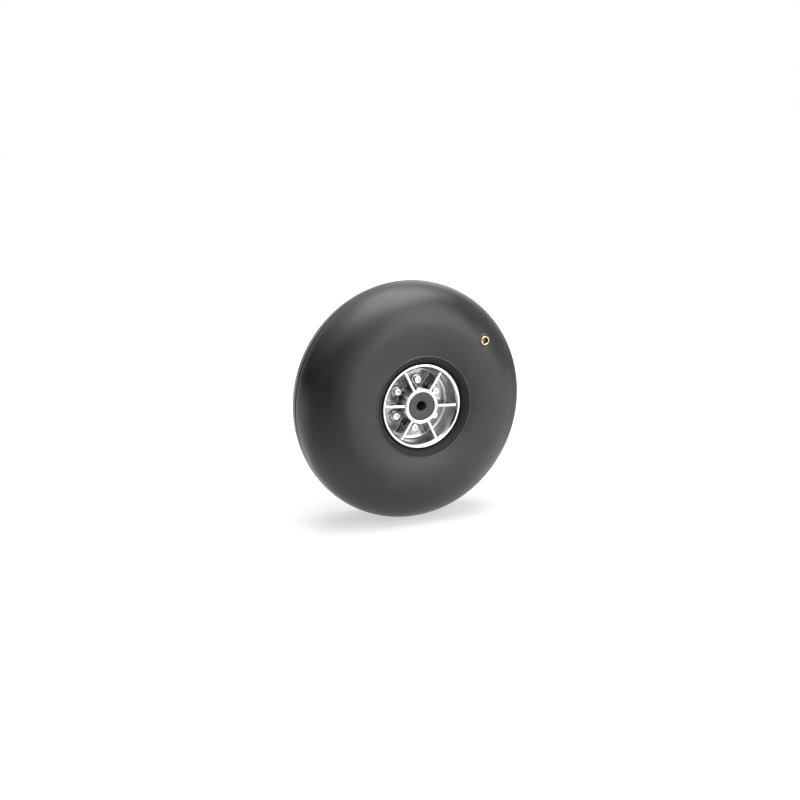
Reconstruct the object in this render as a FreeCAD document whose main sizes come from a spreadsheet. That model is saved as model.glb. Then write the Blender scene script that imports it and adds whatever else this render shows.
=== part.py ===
"""Inflatable main wheel of a large model aircraft, in millimetres.

The wheel turns about Y through the origin, which is its centre. Its outboard face, with the tie
screw heads and the air valve, looks along -Y; the inboard face, with the nuts, looks along +Y.

  tyre        one moulded rubber air chamber: smooth round tread, flat sidewalls, two beads
  hub halves  two die-cast dishes with six ribs each, clamped on the beads by six tie screws
  bushes      two plastic bushes pressed into the hub, that run on the axle
  valve       a brass stem moulded into the outboard sidewall, with a sprung core screwed into it

Every piece is modelled facing +Y, with what repeats starting on X or Z. Its Placement then turns
it to the side that it belongs on, and round the wheel.
"""

import FreeCAD, Part
import Sketcher
import math
import os
import re

DOCUMENT = FreeCAD.newDocument("AircraftWheel")
OUT_FOLDER = "parts"

# name, size, meaning. Lengths in millimetres, angles in degrees.
SIZES = [
    ("tyre_diameter", 152.4, "over the tread"),
    ("tyre_width", 52.0, "over the sidewalls, where the tyre is widest"),
    ("tyre_wall", 3.0, "thickness of tread and sidewalls"),
    ("mould_line_width", 1.6, "groove round the middle of the tread, where the mould parts"),
    ("mould_line_depth", 0.5, "depth of that groove"),
    ("fitting_line_diameter", 64.2, "raised line on each sidewall, round the rim"),
    ("fitting_line_inset", 2.4, "how far in that line lies from the widest part"),
    ("fitting_line_width", 0.9, "width of the line's foot"),
    ("fitting_line_height", 0.35, "how far the line stands up"),
    ("bead_shoulder_radius", 6.0, "roundness from the line down to the rim"),
    ("bead_thickness", 3.6, "rubber between the hub's barrel and the air"),
    ("bead_width", 28.0, "width of that band inside the tyre"),
    ("rim_clearance", 1.1, "gap between the rim's lip and the rubber round it"),
    ("hub_width", 41.0, "from lip to lip"),
    ("lip_height", 1.2, "how far the lip of the rim stands up from the bead's seat"),
    ("lip_thickness", 1.2, "thickness of that lip"),
    ("lip_round", 0.4, "roundness of the lip's outer edge"),
    ("lip_chamfer", 0.8, "chamfer inside the lip"),
    ("bead_seat_diameter", 50.8, "barrel under the bead, beside the lip"),
    ("bead_seat_taper", 0.8, "how much smaller the barrel's radius is at the split"),
    ("rim_wall", 1.4, "thickness of the barrel"),
    ("dish_depth", 12.3, "from the lip's face down to the floor of the dish"),
    ("floor_thickness", 1.8, "thickness of that floor"),
    ("floor_round", 0.9, "roundness where the walls meet the floor"),
    ("boss_diameter", 22.4, "central boss at its face"),
    ("boss_draft", 0.3, "how much the boss's radius grows towards the floor"),
    ("boss_inset", 0.3, "how far the boss's face lies behind the lip's"),
    ("boss_round", 0.45, "roundness of the boss's edges"),
    ("inner_boss_diameter", 16.0, "boss between the floor and the split"),
    ("axle_clearance_diameter", 8.4, "bore of the boss between the bushes"),
    ("rib_count", 6, "ribs, and tie screws between them"),
    ("rib_thickness", 1.8, "thickness of a rib"),
    ("rib_inset", 1.1, "how far the ribs' tops lie behind the lip's face"),
    ("rib_round", 0.45, "roundness of a rib's top edges"),
    ("rib_phase", -3.9, "angle of the first rib from X, towards Z"),
    ("screw_circle_diameter", 30.6, "circle of the tie screws"),
    ("post_diameter", 7.0, "post round a tie screw"),
    ("post_height", 2.0, "how far a post stands up from the dish's floor"),
    ("gusset_thickness", 2.0, "web between a post and the boss"),
    ("screw_diameter", 2.5, "tie screw"),
    ("screw_hole_clearance", 0.15, "gap round a tie screw in its post"),
    ("screw_head_diameter", 4.5, "cap head"),
    ("screw_head_height", 2.5, "cap head"),
    ("screw_head_round", 0.3, "roundness of the head's top edge"),
    ("socket_flats", 2.0, "across the flats of the head's socket"),
    ("socket_depth", 1.3, "depth of that socket"),
    ("screw_tip", 0.8, "how far a screw stands out of its nut"),
    ("nut_flats", 5.0, "across the flats of a nut"),
    ("nut_height", 2.0, "height of a nut"),
    ("nut_chamfer", 0.25, "depth of the chamfer on a nut's corners"),
    ("nut_pocket_depth", 0.9, "hexagonal recess that keeps a nut from turning"),
    ("nut_pocket_clearance", 0.1, "gap round a nut in its recess"),
    ("bush_diameter", 17.9, "plastic bush"),
    ("bush_length", 12.0, "plastic bush"),
    ("bush_inset", 0.9, "how far a bush's face lies behind the lip's"),
    ("bush_chamfer", 0.35, "chamfers of a bush"),
    ("axle_bore_diameter", 6.35, "bore of the bushes, for the axle"),
    ("valve_radius", 57.0, "distance of the valve from the wheel's axis"),
    ("valve_angle", 43.5, "angle of the valve from X, towards Z"),
    ("valve_proud", 0.6, "how far the stem's mouth stands out from the sidewall"),
    ("valve_collar_diameter", 7.6, "low rubber collar round the stem's mouth"),
    ("valve_collar_draft", 0.4, "how much the collar's radius grows towards its foot"),
    ("valve_collar_height", 3.0, "from the collar's face to its foot in the sidewall"),
    ("stem_proud", 0.3, "how far the stem's mouth stands out of the collar"),
    ("stem_diameter", 5.5, "valve stem at its mouth"),
    ("stem_bore_diameter", 4.1, "bore that the core screws into"),
    ("stem_mouth_chamfer", 0.2, "chamfers of the mouth"),
    ("stem_bore_depth", 5.0, "depth of that bore"),
    ("stem_length", 9.6, "whole stem"),
    ("stem_throat_diameter", 2.9, "bore below the core's thread"),
    ("stem_throat_cone", 0.8, "height of the cone between the two bores"),
    ("stem_barb_diameter", 6.3, "rings that hold the stem in the rubber"),
    ("stem_barb_height", 0.6, "height of such a ring"),
    ("stem_barb_depth", 2.6, "depth of the first ring below the mouth"),
    ("stem_barb_spacing", 1.8, "from the first ring to the second"),
    ("stem_foot_diameter", 8.6, "foot of the stem, against the inside of the pad"),
    ("stem_foot_thickness", 1.0, "foot of the stem"),
    ("valve_pad_diameter", 11.0, "rubber pad round the stem, inside the tyre"),
    ("valve_pad_depth", 6.9, "from the stem's mouth to the inner end of the pad"),
    ("core_depth", 2.6, "from the stem's mouth down to the core"),
    ("core_head_height", 1.8, "threaded head of the core"),
    ("core_neck_diameter", 2.3, "core below its head"),
    ("core_length", 4.9, "whole core barrel"),
    ("core_chamber_diameter", 1.7, "bore that holds the spring"),
    ("core_chamber_depth", 2.7, "depth of that bore"),
    ("gasket_squash", 0.1, "gap left below the gasket's cone"),
    ("pin_diameter", 0.8, "valve pin"),
    ("pin_clearance", 0.08, "gap round the pin in the core"),
    ("pin_reach", 0.9, "how far the pin stands out of the core"),
    ("pin_collar_diameter", 1.5, "collar that the spring pushes on"),
    ("pin_collar_height", 0.35, "height of that collar"),
    ("seal_diameter", 2.2, "rubber washer that closes the core"),
    ("seal_thickness", 0.35, "thickness of that washer"),
    ("poppet_height", 0.5, "metal head behind the washer"),
    ("spring_wire", 0.2, "thickness of the spring's wire"),
    ("spring_turns", 5, "turns of the spring"),
    ("spring_end_gap", 0.02, "gap at each end of the spring"),
]

# Shared formulas, in the names above. Heights are measured outboard from the wheel's middle.
SECTION_CENTRE = "(tyre_diameter / 2 - tyre_width / 2)"
FITTING_LINE_HEIGHT = "(tyre_width / 2 - fitting_line_inset)"
FITTING_LINE_FOOT = "(fitting_line_diameter / 2 + fitting_line_width / 2)"
SIDEWALL_DROP = f"({SECTION_CENTRE} - {FITTING_LINE_FOOT})"
SIDEWALL_RADIUS = f"((({SIDEWALL_DROP}) ^ 2 + fitting_line_inset ^ 2) / (2 * fitting_line_inset))"
RIM_RADIUS = "(bead_seat_diameter / 2 + lip_height)"
BARREL_MIDDLE = "(bead_seat_diameter / 2 - bead_seat_taper)"
LIP_FACE = "(hub_width / 2)"
LIP_BACK = "(hub_width / 2 - lip_thickness)"
FLOOR = "(hub_width / 2 - dish_depth)"
SEAT_SLOPE = f"(bead_seat_taper / {LIP_BACK})"
BOSS_FACE = "(hub_width / 2 - boss_inset)"
BUSH_FACE = "(hub_width / 2 - bush_inset)"
SCREW_SEAT = f"({FLOOR} + post_height)"
NUT_SEAT = f"({SCREW_SEAT} - nut_pocket_depth)"
HALF_STEP = "(180 / rib_count)"
SCREW_SHANK = f"({SCREW_SEAT} + {NUT_SEAT} + nut_height + screw_tip)"
VALVE_MOUTH = (
    f"(sqrt((tyre_width / 2) ^ 2 - (valve_radius - {SECTION_CENTRE}) ^ 2) + valve_proud)"
)
CORE_END = "(core_depth + core_length)"
LEDGE = "(core_depth + core_chamber_depth)"
COLLAR_FACE = "(core_depth + pin_collar_height)"

FRONT = 180  # degrees about X: turns a piece modelled facing +Y to the outboard side
BACK = 0


# ---------------------------------------------------------------- sheet and formulas


def make_sheet():
    """The spreadsheet that holds every driving size under its own name."""
    sheet = DOCUMENT.addObject("Spreadsheet::Sheet", "Sizes")
    for row, (name, value, meaning) in enumerate(SIZES, start=1):
        sheet.set(f"A{row}", name)
        sheet.set(f"B{row}", str(value))
        sheet.setAlias(f"B{row}", name)
        sheet.set(f"C{row}", meaning)
    DOCUMENT.recompute()
    return sheet


SHEET = make_sheet()
NAMES = re.compile(r"\b(" + "|".join(name for name, _, _ in SIZES) + r")\b")


def on_sheet(formula):
    """A formula in the names above, written as a FreeCAD expression."""
    return NAMES.sub(r"Sizes.\1", str(formula))


def value_of(formula):
    """The present value of a formula."""
    value = SHEET.evalExpression(on_sheet(formula))
    return float(getattr(value, "Value", value))


def bind(item, prop, formula):
    item.setExpression(prop, on_sheet(formula))


# ---------------------------------------------------------------- sketches


def arc_from(start, end, radius, centre_on_left):
    """The shorter arc of a radius between two points, with its centre left or right of the way."""
    middle = (start + end) / 2
    chord = end - start
    reach = math.sqrt(max(radius**2 - (chord.Length / 2) ** 2, 0.0))
    left = FreeCAD.Vector(-chord.y, chord.x, 0).normalize()
    centre = middle + left * (reach if centre_on_left else -reach)
    first, last = (start, end) if centre_on_left else (end, start)
    angles = [math.atan2(p.y - centre.y, p.x - centre.x) for p in (first, last)]
    circle = Part.Circle(centre, FreeCAD.Vector(0, 0, 1), radius)
    return Part.ArcOfCircle(circle, angles[0], angles[1])


def draw(sketch, corners):
    """A closed outline. Each corner is (x, y) or (x, y, radius, centre_on_left): the edge that
    leaves such a corner is an arc. Every corner and radius is bound to its formula."""
    points = [FreeCAD.Vector(value_of(c[0]), value_of(c[1]), 0) for c in corners]
    count = len(corners)
    ends = []
    for i, corner in enumerate(corners):
        start, end = points[i], points[(i + 1) % count]
        if len(corner) == 2:
            edge = sketch.addGeometry(Part.LineSegment(start, end))
            ends.append((edge, 1, 2))
        else:
            radius, centre_on_left = value_of(corner[2]), corner[3]
            edge = sketch.addGeometry(arc_from(start, end, radius, centre_on_left))
            ends.append((edge, 1, 2) if centre_on_left else (edge, 2, 1))
    for i, (edge, _, leaving) in enumerate(ends):
        following, arriving, _ = ends[(i + 1) % count]
        sketch.addConstraint(
            Sketcher.Constraint("Coincident", edge, leaving, following, arriving)
        )
    for i, corner in enumerate(corners):
        edge, first, _ = ends[i]
        for kind, formula, at in (
            ("DistanceX", corner[0], points[i].x),
            ("DistanceY", corner[1], points[i].y),
        ):
            dimension = sketch.addConstraint(
                Sketcher.Constraint(kind, -1, 1, edge, first, at)
            )
            bind(sketch, f"Constraints[{dimension}]", formula)
        if len(corner) > 2:
            dimension = sketch.addConstraint(
                Sketcher.Constraint("Radius", edge, value_of(corner[2]))
            )
            bind(sketch, f"Constraints[{dimension}]", corner[2])


def draw_line(sketch, start, end):
    """A construction line, such as the axis of a screw hole, bound to its formulas."""
    points = [FreeCAD.Vector(value_of(x), value_of(y), 0) for x, y in (start, end)]
    line = sketch.addGeometry(Part.LineSegment(*points), True)
    for which, corner in ((1, start), (2, end)):
        for kind, formula in (("DistanceX", corner[0]), ("DistanceY", corner[1])):
            dimension = sketch.addConstraint(
                Sketcher.Constraint(kind, -1, 1, line, which, value_of(formula))
            )
            bind(sketch, f"Constraints[{dimension}]", formula)


def both_sides(half):
    """An outline's half from its first corner to its last, both at y = 0, and its mirror."""
    mirrored = []
    for i in range(len(half) - 1, 0, -1):
        mirrored.append((half[i][0], f"-({half[i][1]})", *half[i - 1][2:]))
    return [*half[:-1], *mirrored]


def turned(corners):
    """The same outline with x and y exchanged, for a sketch whose x runs along the wheel's axis."""
    return [(c[1], c[0], *([c[2], not c[3]] if len(c) > 2 else [])) for c in corners]


def hexagon(flats):
    """Corners of a hexagon about the origin, with two flats across x."""
    reach = f"({flats}) / 2"
    return [
        (f"{reach} * {math.cos(math.radians(a)) / math.cos(math.radians(30)):.9f}",
         f"{reach} * {math.sin(math.radians(a)) / math.cos(math.radians(30)):.9f}")
        for a in range(30, 390, 60)
    ]


# ---------------------------------------------------------------- bodies and features


def new_body(label):
    body = DOCUMENT.addObject("PartDesign::Body", label)
    body.Label = label
    return body


def origin_plane(body, role):
    return next(f for f in body.Origin.OriginFeatures if f.Role == role)


def new_sketch(body, name, plane, corners, offset=None, turn=None):
    """A sketch on one of a body's own origin planes. The plane can be moved along its normal, and
    turned about the wheel's axis, from X towards Z."""
    sketch = body.newObject("Sketcher::SketchObject", name)
    sketch.AttachmentSupport = [(origin_plane(body, plane), "")]
    sketch.MapMode = "FlatFace"
    if offset is not None:
        bind(sketch, "AttachmentOffset.Base.z", offset)
    if turn is not None:
        axis = (0, 0, 1) if plane == "XZ_Plane" else (0, -1, 0)
        sketch.AttachmentOffset = FreeCAD.Placement(
            sketch.AttachmentOffset.Base, FreeCAD.Rotation(FreeCAD.Vector(*axis), 1)
        )
        bind(sketch, "AttachmentOffset.Rotation.Angle", turn)
    draw(sketch, corners)
    return sketch


def revolve(body, name, sketch, axis="V_Axis", cut=False):
    kind = "Groove" if cut else "Revolution"
    feature = body.newObject(f"PartDesign::{kind}", name)
    feature.Profile = sketch
    feature.ReferenceAxis = (sketch, [axis])
    feature.Angle = 360
    sketch.Visibility = False
    return feature


def pad(body, name, sketch, length, symmetric=False, reverse=False, cut=False):
    feature = body.newObject(f"PartDesign::{'Pocket' if cut else 'Pad'}", name)
    feature.Profile = sketch
    bind(feature, "Length", length)
    feature.SideType = "Symmetric" if symmetric else "One side"
    feature.Reversed = reverse
    sketch.Visibility = False
    return feature


def repeat(body, name, features):
    """Copies of the features round the wheel's axis, one for each rib."""
    pattern = body.newObject("PartDesign::PolarPattern", name)
    pattern.Originals = features
    pattern.Axis = (origin_plane(body, "Y_Axis"), [""])
    pattern.Angle = 360
    bind(pattern, "Occurrences", "rib_count")
    body.Tip = pattern
    return pattern


def round_rings(body, name, base, rings, radius):
    """Rounds circular edges about the wheel's axis, each given by (diameter, height)."""
    DOCUMENT.recompute()
    wanted = [(value_of(d) / 2, value_of(y)) for d, y in rings]
    found = []
    for number, edge in enumerate(base.Shape.Edges, start=1):
        if not isinstance(edge.Curve, Part.Circle):
            continue
        centre = edge.Curve.Center
        ring = (edge.Curve.Radius, centre.y)
        if math.hypot(centre.x, centre.z) < 1e-6 and any(
            math.dist(ring, w) < 1e-4 for w in wanted
        ):
            found.append(f"Edge{number}")
    fillet = body.newObject("PartDesign::Fillet", name)
    fillet.Base = (base, found)
    bind(fillet, "Radius", radius)
    return fillet


def place(item, side, angle="0", radius="0", height="0"):
    """Puts a piece on its side of the wheel: turned to face out there, round the wheel by angle
    from X towards Z, and moved out from the axis by radius and from the middle by height."""
    outward = -1 if side == FRONT else 1
    where = f"({radius}) * cos({angle}); {outward} * ({height}); ({radius}) * sin({angle})"
    bind(item, "Placement",
         f"placement(vector({where}); rotationy(-({angle})) * rotationx({side}))")


# ---------------------------------------------------------------- tyre


def tyre_outside():
    """Half of the tyre's section, from the tread's middle round the sidewall to the bore."""
    half_groove = "mould_line_width / 2"
    return [
        ("tyre_diameter / 2 - mould_line_depth", "0"),
        (f"{SECTION_CENTRE} + sqrt((tyre_width / 2) ^ 2 - ({half_groove}) ^ 2)", half_groove,
         "tyre_width / 2", True),
        (SECTION_CENTRE, "tyre_width / 2", SIDEWALL_RADIUS, True),
        (FITTING_LINE_FOOT, FITTING_LINE_HEIGHT),
        ("fitting_line_diameter / 2", f"{FITTING_LINE_HEIGHT} + fitting_line_height"),
        ("fitting_line_diameter / 2 - fitting_line_width / 2", FITTING_LINE_HEIGHT,
         "bead_shoulder_radius", True),
        (f"{RIM_RADIUS} + rim_clearance", f"{LIP_FACE} - rim_clearance"),
        (f"{RIM_RADIUS} + rim_clearance", LIP_BACK),
        ("bead_seat_diameter / 2", LIP_BACK),
        (BARREL_MIDDLE, "0"),
    ]


def tyre_air_space():
    """Half of the section of the air inside the tyre, at an even wall from the outside."""
    bead_foot = "(fitting_line_diameter / 2 + fitting_line_width)"
    return [
        ("tyre_diameter / 2 - tyre_wall", "0", "tyre_width / 2 - tyre_wall", True),
        (SECTION_CENTRE, "tyre_width / 2 - tyre_wall", f"{SIDEWALL_RADIUS} - tyre_wall", True),
        (bead_foot,
         f"tyre_width / 2 - {SIDEWALL_RADIUS} + sqrt(({SIDEWALL_RADIUS} - tyre_wall) ^ 2"
         f" - ({SECTION_CENTRE} - {bead_foot}) ^ 2)"),
        ("bead_seat_diameter / 2 + bead_thickness", "bead_width / 2"),
        ("bead_seat_diameter / 2 + bead_thickness", "0"),
    ]


def spun_sketch(name, corners):
    """A solid of revolution about Y, made from a sketch of its section."""
    sketch = DOCUMENT.addObject("Sketcher::SketchObject", f"{name}_section")
    draw(sketch, corners)
    solid = DOCUMENT.addObject("Part::Revolution", name)
    solid.Source = sketch
    solid.Axis = (0, 1, 0)
    solid.Angle = 360
    solid.Solid = True
    return solid


def boolean(kind, name, base, tool):
    result = DOCUMENT.addObject(f"Part::{kind}", name)
    result.Base = base
    result.Tool = tool
    return result


def upright(kind, name, foot, sizes):
    """A cylinder or cone on the valve's axis, standing along +Y on its foot."""
    solid = DOCUMENT.addObject(f"Part::{kind}", name)
    for prop, formula in sizes.items():
        bind(solid, prop, formula)
    solid.Placement.Rotation = FreeCAD.Rotation(FreeCAD.Vector(1, 0, 0), -90)
    bind(solid, "Placement.Base.x", "valve_radius")
    bind(solid, "Placement.Base.y", foot)
    return solid


def make_tyre():
    """The air chamber. Its valve is modelled on +X, and the tyre turns to put it in its place."""
    rubber = spun_sketch("tyre_outside", both_sides(tyre_outside()))
    air = spun_sketch("tyre_air", both_sides(tyre_air_space()))
    inner_pad = upright("Cylinder", "valve_pad", f"{VALVE_MOUTH} - valve_pad_depth", {
        "Radius": "valve_pad_diameter / 2",
        "Height": "valve_pad_depth",
    })
    collar_face = f"({VALVE_MOUTH} - stem_proud)"
    collar = upright("Cone", "valve_collar", f"{collar_face} - valve_collar_height", {
        "Radius1": "valve_collar_diameter / 2 + valve_collar_draft",
        "Radius2": "valve_collar_diameter / 2",
        "Height": "valve_collar_height",
    })
    spot_face = upright("Cylinder", "valve_spot_face", collar_face, {
        "Radius": "valve_collar_diameter / 2",
        "Height": "valve_pad_depth",
    })
    stem = spun_sketch("stem_shape", stem_outside(hollow=False))
    bind(stem, "Placement.Base.x", "valve_radius")
    bind(stem, "Placement.Base.y", VALVE_MOUTH)
    air_round_pad = boolean("Cut", "air_round_pad", air, inner_pad)
    chamber = boolean("Cut", "chamber", rubber, air_round_pad)
    collared = boolean("Fuse", "collared_chamber", chamber, collar)
    faced = boolean("Cut", "faced_chamber", collared, spot_face)
    tyre = boolean("Cut", "tyre", faced, stem)
    tyre.Label = "tyre"
    place(tyre, FRONT, "valve_angle")
    return tyre


# ---------------------------------------------------------------- hub


def hub_section():
    """Section of a hub half on one side of the axis, from the split out to the lip."""
    wall_at = "({0} + {1} * {2} - rim_wall)"
    middle = BARREL_MIDDLE
    floor_wall = wall_at.format(middle, SEAT_SLOPE, FLOOR)
    mouth_wall = wall_at.format(middle, SEAT_SLOPE, f"({LIP_FACE} - lip_chamfer)")
    under_floor = f"({FLOOR} - floor_thickness)"
    bush_end = f"({BUSH_FACE} - bush_length)"
    return [
        ("axle_clearance_diameter / 2", "0"),
        ("inner_boss_diameter / 2", "0"),
        ("inner_boss_diameter / 2", under_floor),
        (f"{middle} - rim_wall", under_floor),
        (f"{middle} - rim_wall", "0"),
        (middle, "0"),
        ("bead_seat_diameter / 2", LIP_BACK),
        (RIM_RADIUS, LIP_BACK),
        (RIM_RADIUS, LIP_FACE),
        (f"{mouth_wall} + lip_chamfer", LIP_FACE),
        (mouth_wall, f"{LIP_FACE} - lip_chamfer"),
        (floor_wall, FLOOR),
        ("boss_diameter / 2 + boss_draft", FLOOR),
        ("boss_diameter / 2", BOSS_FACE),
        ("bush_diameter / 2", BOSS_FACE),
        ("bush_diameter / 2", bush_end),
        ("axle_clearance_diameter / 2", bush_end),
    ]


def rib_section():
    """Section across a rib: along the wheel's axis in x, across the rib in y."""
    top = f"({LIP_FACE} - rib_inset)"
    root = f"({FLOOR} - floor_thickness / 2)"
    side = "rib_thickness / 2"
    return [
        (root, f"-{side}"),
        (f"{top} - rib_round", f"-{side}", "rib_round", True),
        (top, f"-{side} + rib_round"),
        (top, f"{side} - rib_round", "rib_round", True),
        (f"{top} - rib_round", side),
        (root, side),
    ]


def box_section(low, inner, high, outer):
    """A rectangle between two radii and two heights."""
    return [(inner, low), (outer, low), (outer, high), (inner, high)]


def about_screw(body, name, corners):
    """A sketch in the plane of the first tie screw, with the screw's axis as its own line."""
    sketch = new_sketch(body, name, "XY_Plane", corners, turn=HALF_STEP)
    draw_line(sketch, ("screw_circle_diameter / 2", "0"), ("screw_circle_diameter / 2", SCREW_SEAT))
    return sketch


def screw_hole_section(axis):
    """The hole through a post, with room for the screw's head above the post."""
    hole = f"{axis} + screw_diameter / 2 + screw_hole_clearance"
    room = f"{axis} + screw_head_diameter / 2 + screw_hole_clearance"
    above = f"{SCREW_SEAT} + screw_head_height + 1"
    return [
        (axis, "-1"), (hole, "-1"), (hole, SCREW_SEAT), (room, SCREW_SEAT), (room, above), (axis, above)
    ]


def make_hub_half(label, side, pockets):
    """A cast dish with ribs from boss to rim, and posts for the tie screws between them."""
    body = new_body(label)
    circle = "screw_circle_diameter / 2"
    dish = revolve(body, "dish", new_sketch(body, "dish_section", "XY_Plane", hub_section()))
    floor_wall = hub_section()[11][0]
    softened = round_rings(
        body, "floor_rounds", dish,
        [(f"2 * {floor_wall}", FLOOR), ("boss_diameter + 2 * boss_draft", FLOOR)], "floor_round",
    )
    lipped = round_rings(body, "lip_rounds", softened, [(f"2 * {RIM_RADIUS}", LIP_FACE)], "lip_round")
    round_rings(
        body, "boss_rounds", lipped,
        [("boss_diameter", BOSS_FACE), ("bush_diameter", BOSS_FACE)], "boss_round",
    )
    rib_start = "(bush_diameter / 4 + boss_diameter / 4)"
    rib = pad(
        body, "rib", new_sketch(body, "rib_section", "YZ_Plane", rib_section(), rib_start),
        f"{BARREL_MIDDLE} - {rib_start}",
    )
    repeat(body, "ribs", [rib])
    post = revolve(
        body, "post",
        about_screw(body, "post_section",
                    box_section("0", circle, SCREW_SEAT, f"{circle} + post_diameter / 2")),
        "Axis0",
    )
    web = pad(
        body, "gusset",
        new_sketch(body, "gusset_section", "XY_Plane",
                   box_section(f"{FLOOR} - floor_thickness / 2", rib_start, SCREW_SEAT, circle),
                   turn=HALF_STEP),
        "gusset_thickness", symmetric=True,
    )
    repeat(body, "posts", [post, web])
    hole = revolve(
        body, "screw_hole", about_screw(body, "screw_hole_section", screw_hole_section(circle)),
        "Axis0", cut=True,
    )
    cuts = [hole]
    if pockets:
        outline = hexagon("nut_flats + 2 * nut_pocket_clearance")
        sketch = new_sketch(body, "nut_pocket_section", "XZ_Plane",
                            [(f"{circle} + {x}", y) for x, y in outline],
                            f"-{NUT_SEAT}", HALF_STEP)
        cuts.append(pad(body, "nut_pocket", sketch, "nut_height + screw_tip + 1", cut=True))
    repeat(body, "screw_holes", cuts)
    place(body, side, "rib_phase")
    return body


def make_bush(label, side):
    """A plastic bush, pressed into the boss from outside up to its shoulder."""
    body = new_body(label)
    bore, outside, edge = "axle_bore_diameter / 2", "bush_diameter / 2", "bush_chamfer"
    corners = [
        (bore, f"-bush_length + {edge}"),
        (f"{bore} + {edge}", "-bush_length"),
        (outside, "-bush_length"),
        (outside, f"-{edge}"),
        (f"{outside} - {edge}", "0"),
        (f"{bore} + {edge}", "0"),
        (bore, f"-{edge}"),
    ]
    revolve(body, "bush", new_sketch(body, "bush_section", "XY_Plane", corners))
    place(body, side, "rib_phase", height=BUSH_FACE)
    return body


# ---------------------------------------------------------------- fasteners


def screw_angle(index):
    """Angle of a tie screw from X: the screws sit midway between the ribs."""
    return f"rib_phase + 360 / rib_count * ({index} + 0.5)"


def make_tie_screw(index):
    """A socket cap screw. Its own origin is under its head, which faces +Y."""
    body = new_body(f"tie_screw_{index + 1}")
    head, shank = "screw_head_diameter / 2", "screw_diameter / 2"
    corners = [
        ("0", "screw_head_height"),
        ("0", f"-{SCREW_SHANK}"),
        (f"{shank} - screw_tip / 3", f"-{SCREW_SHANK}"),
        (shank, f"-{SCREW_SHANK} + screw_tip / 3"),
        (shank, "0"),
        (head, "0"),
        (head, "screw_head_height - screw_head_round", "screw_head_round", True),
        (f"{head} - screw_head_round", "screw_head_height"),
    ]
    revolve(body, "screw", new_sketch(body, "screw_section", "XY_Plane", corners))
    socket = new_sketch(body, "socket_section", "XZ_Plane", hexagon("socket_flats"),
                        "-screw_head_height")
    pad(body, "socket", socket, "socket_depth", reverse=True, cut=True)
    place(body, FRONT, screw_angle(index), "screw_circle_diameter / 2", SCREW_SEAT)
    return body


def make_tie_nut(index):
    """A hexagonal nut with chamfered corners. Its own origin is on its seat."""
    body = new_body(f"tie_nut_{index + 1}")
    blank = new_sketch(body, "nut_section", "XZ_Plane", hexagon("nut_flats"))
    pad(body, "nut", blank, "nut_height", reverse=True)
    corner = f"nut_flats / 2 * {1 / math.cos(math.radians(30)):.6f}"
    flat, beyond = "nut_flats / 2 * 0.98", f"({corner} + 1)"
    fall = f"nut_chamfer * ({beyond} - {flat}) / ({corner} - {flat})"
    for name, face, towards in (("seat", "0", "+"), ("face", "nut_height", "-")):
        outside = "-" if towards == "+" else "+"
        edge = new_sketch(body, f"{name}_chamfer_section", "XY_Plane", [
            (flat, face),
            (beyond, f"{face} {towards} {fall}"),
            (beyond, f"{face} {outside} 1"),
            (flat, f"{face} {outside} 1"),
        ])
        revolve(body, f"{name}_chamfer", edge, cut=True)
    hole = new_sketch(body, "nut_hole_section", "XY_Plane",
                      box_section("-1", "0", "nut_height + 1", "screw_diameter / 2"))
    revolve(body, "nut_hole", hole, cut=True)
    place(body, BACK, screw_angle(index), "screw_circle_diameter / 2", NUT_SEAT)
    return body


# ---------------------------------------------------------------- valve


def stem_outside(hollow):
    """Section of the valve stem below its mouth, with its bores if it is hollow."""
    shank, barb = "stem_diameter / 2", "stem_barb_diameter / 2"
    corners = [("0", "0")]
    if hollow:
        bore, throat = "stem_bore_diameter / 2", "stem_throat_diameter / 2"
        corners = [
            (throat, "-stem_length"),
            (throat, "-(stem_bore_depth + stem_throat_cone)"),
            (bore, "-stem_bore_depth"),
            (bore, "-stem_mouth_chamfer"),
            (f"{bore} + stem_mouth_chamfer", "0"),
            (f"{shank} - stem_mouth_chamfer", "0"),
            (shank, "-stem_mouth_chamfer"),
        ]
    else:
        corners.append((shank, "0"))
    for ring in range(2):
        top = f"(stem_barb_depth + {ring} * stem_barb_spacing)"
        corners += [
            (shank, f"-{top}"),
            (barb, f"-{top}"),
            (shank, f"-({top} + stem_barb_height)"),
        ]
    tail = "(stem_throat_diameter / 4 + stem_diameter / 4)"
    corners += [
        (shank, "-valve_pad_depth"),
        ("stem_foot_diameter / 2", "-valve_pad_depth"),
        ("stem_foot_diameter / 2", "-(valve_pad_depth + stem_foot_thickness)"),
        (tail, "-(valve_pad_depth + stem_foot_thickness)"),
        (tail, "-stem_length"),
    ]
    if not hollow:
        corners.append(("0", "-stem_length"))
    return corners


def make_turned(label, corners):
    """A small turned piece of the valve, on the valve's axis, with its origin at the mouth."""
    body = new_body(label)
    revolve(body, "turned", new_sketch(body, "section", "XY_Plane", corners))
    place(body, FRONT, "valve_angle", "valve_radius", VALVE_MOUTH)
    return body


def core_section():
    """The core's barrel: threaded head, slim neck, spring chamber and guide hole for the pin."""
    guide, chamber = "(pin_diameter / 2 + pin_clearance)", "core_chamber_diameter / 2"
    head, neck = "stem_bore_diameter / 2", "core_neck_diameter / 2"
    return [
        (guide, f"-{CORE_END}"),
        (guide, f"-{LEDGE}"),
        (chamber, f"-{LEDGE}"),
        (chamber, "-core_depth"),
        (head, "-core_depth"),
        (head, "-(core_depth + core_head_height)"),
        (neck, "-(core_depth + core_head_height)"),
        (neck, f"-{CORE_END}"),
    ]


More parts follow.
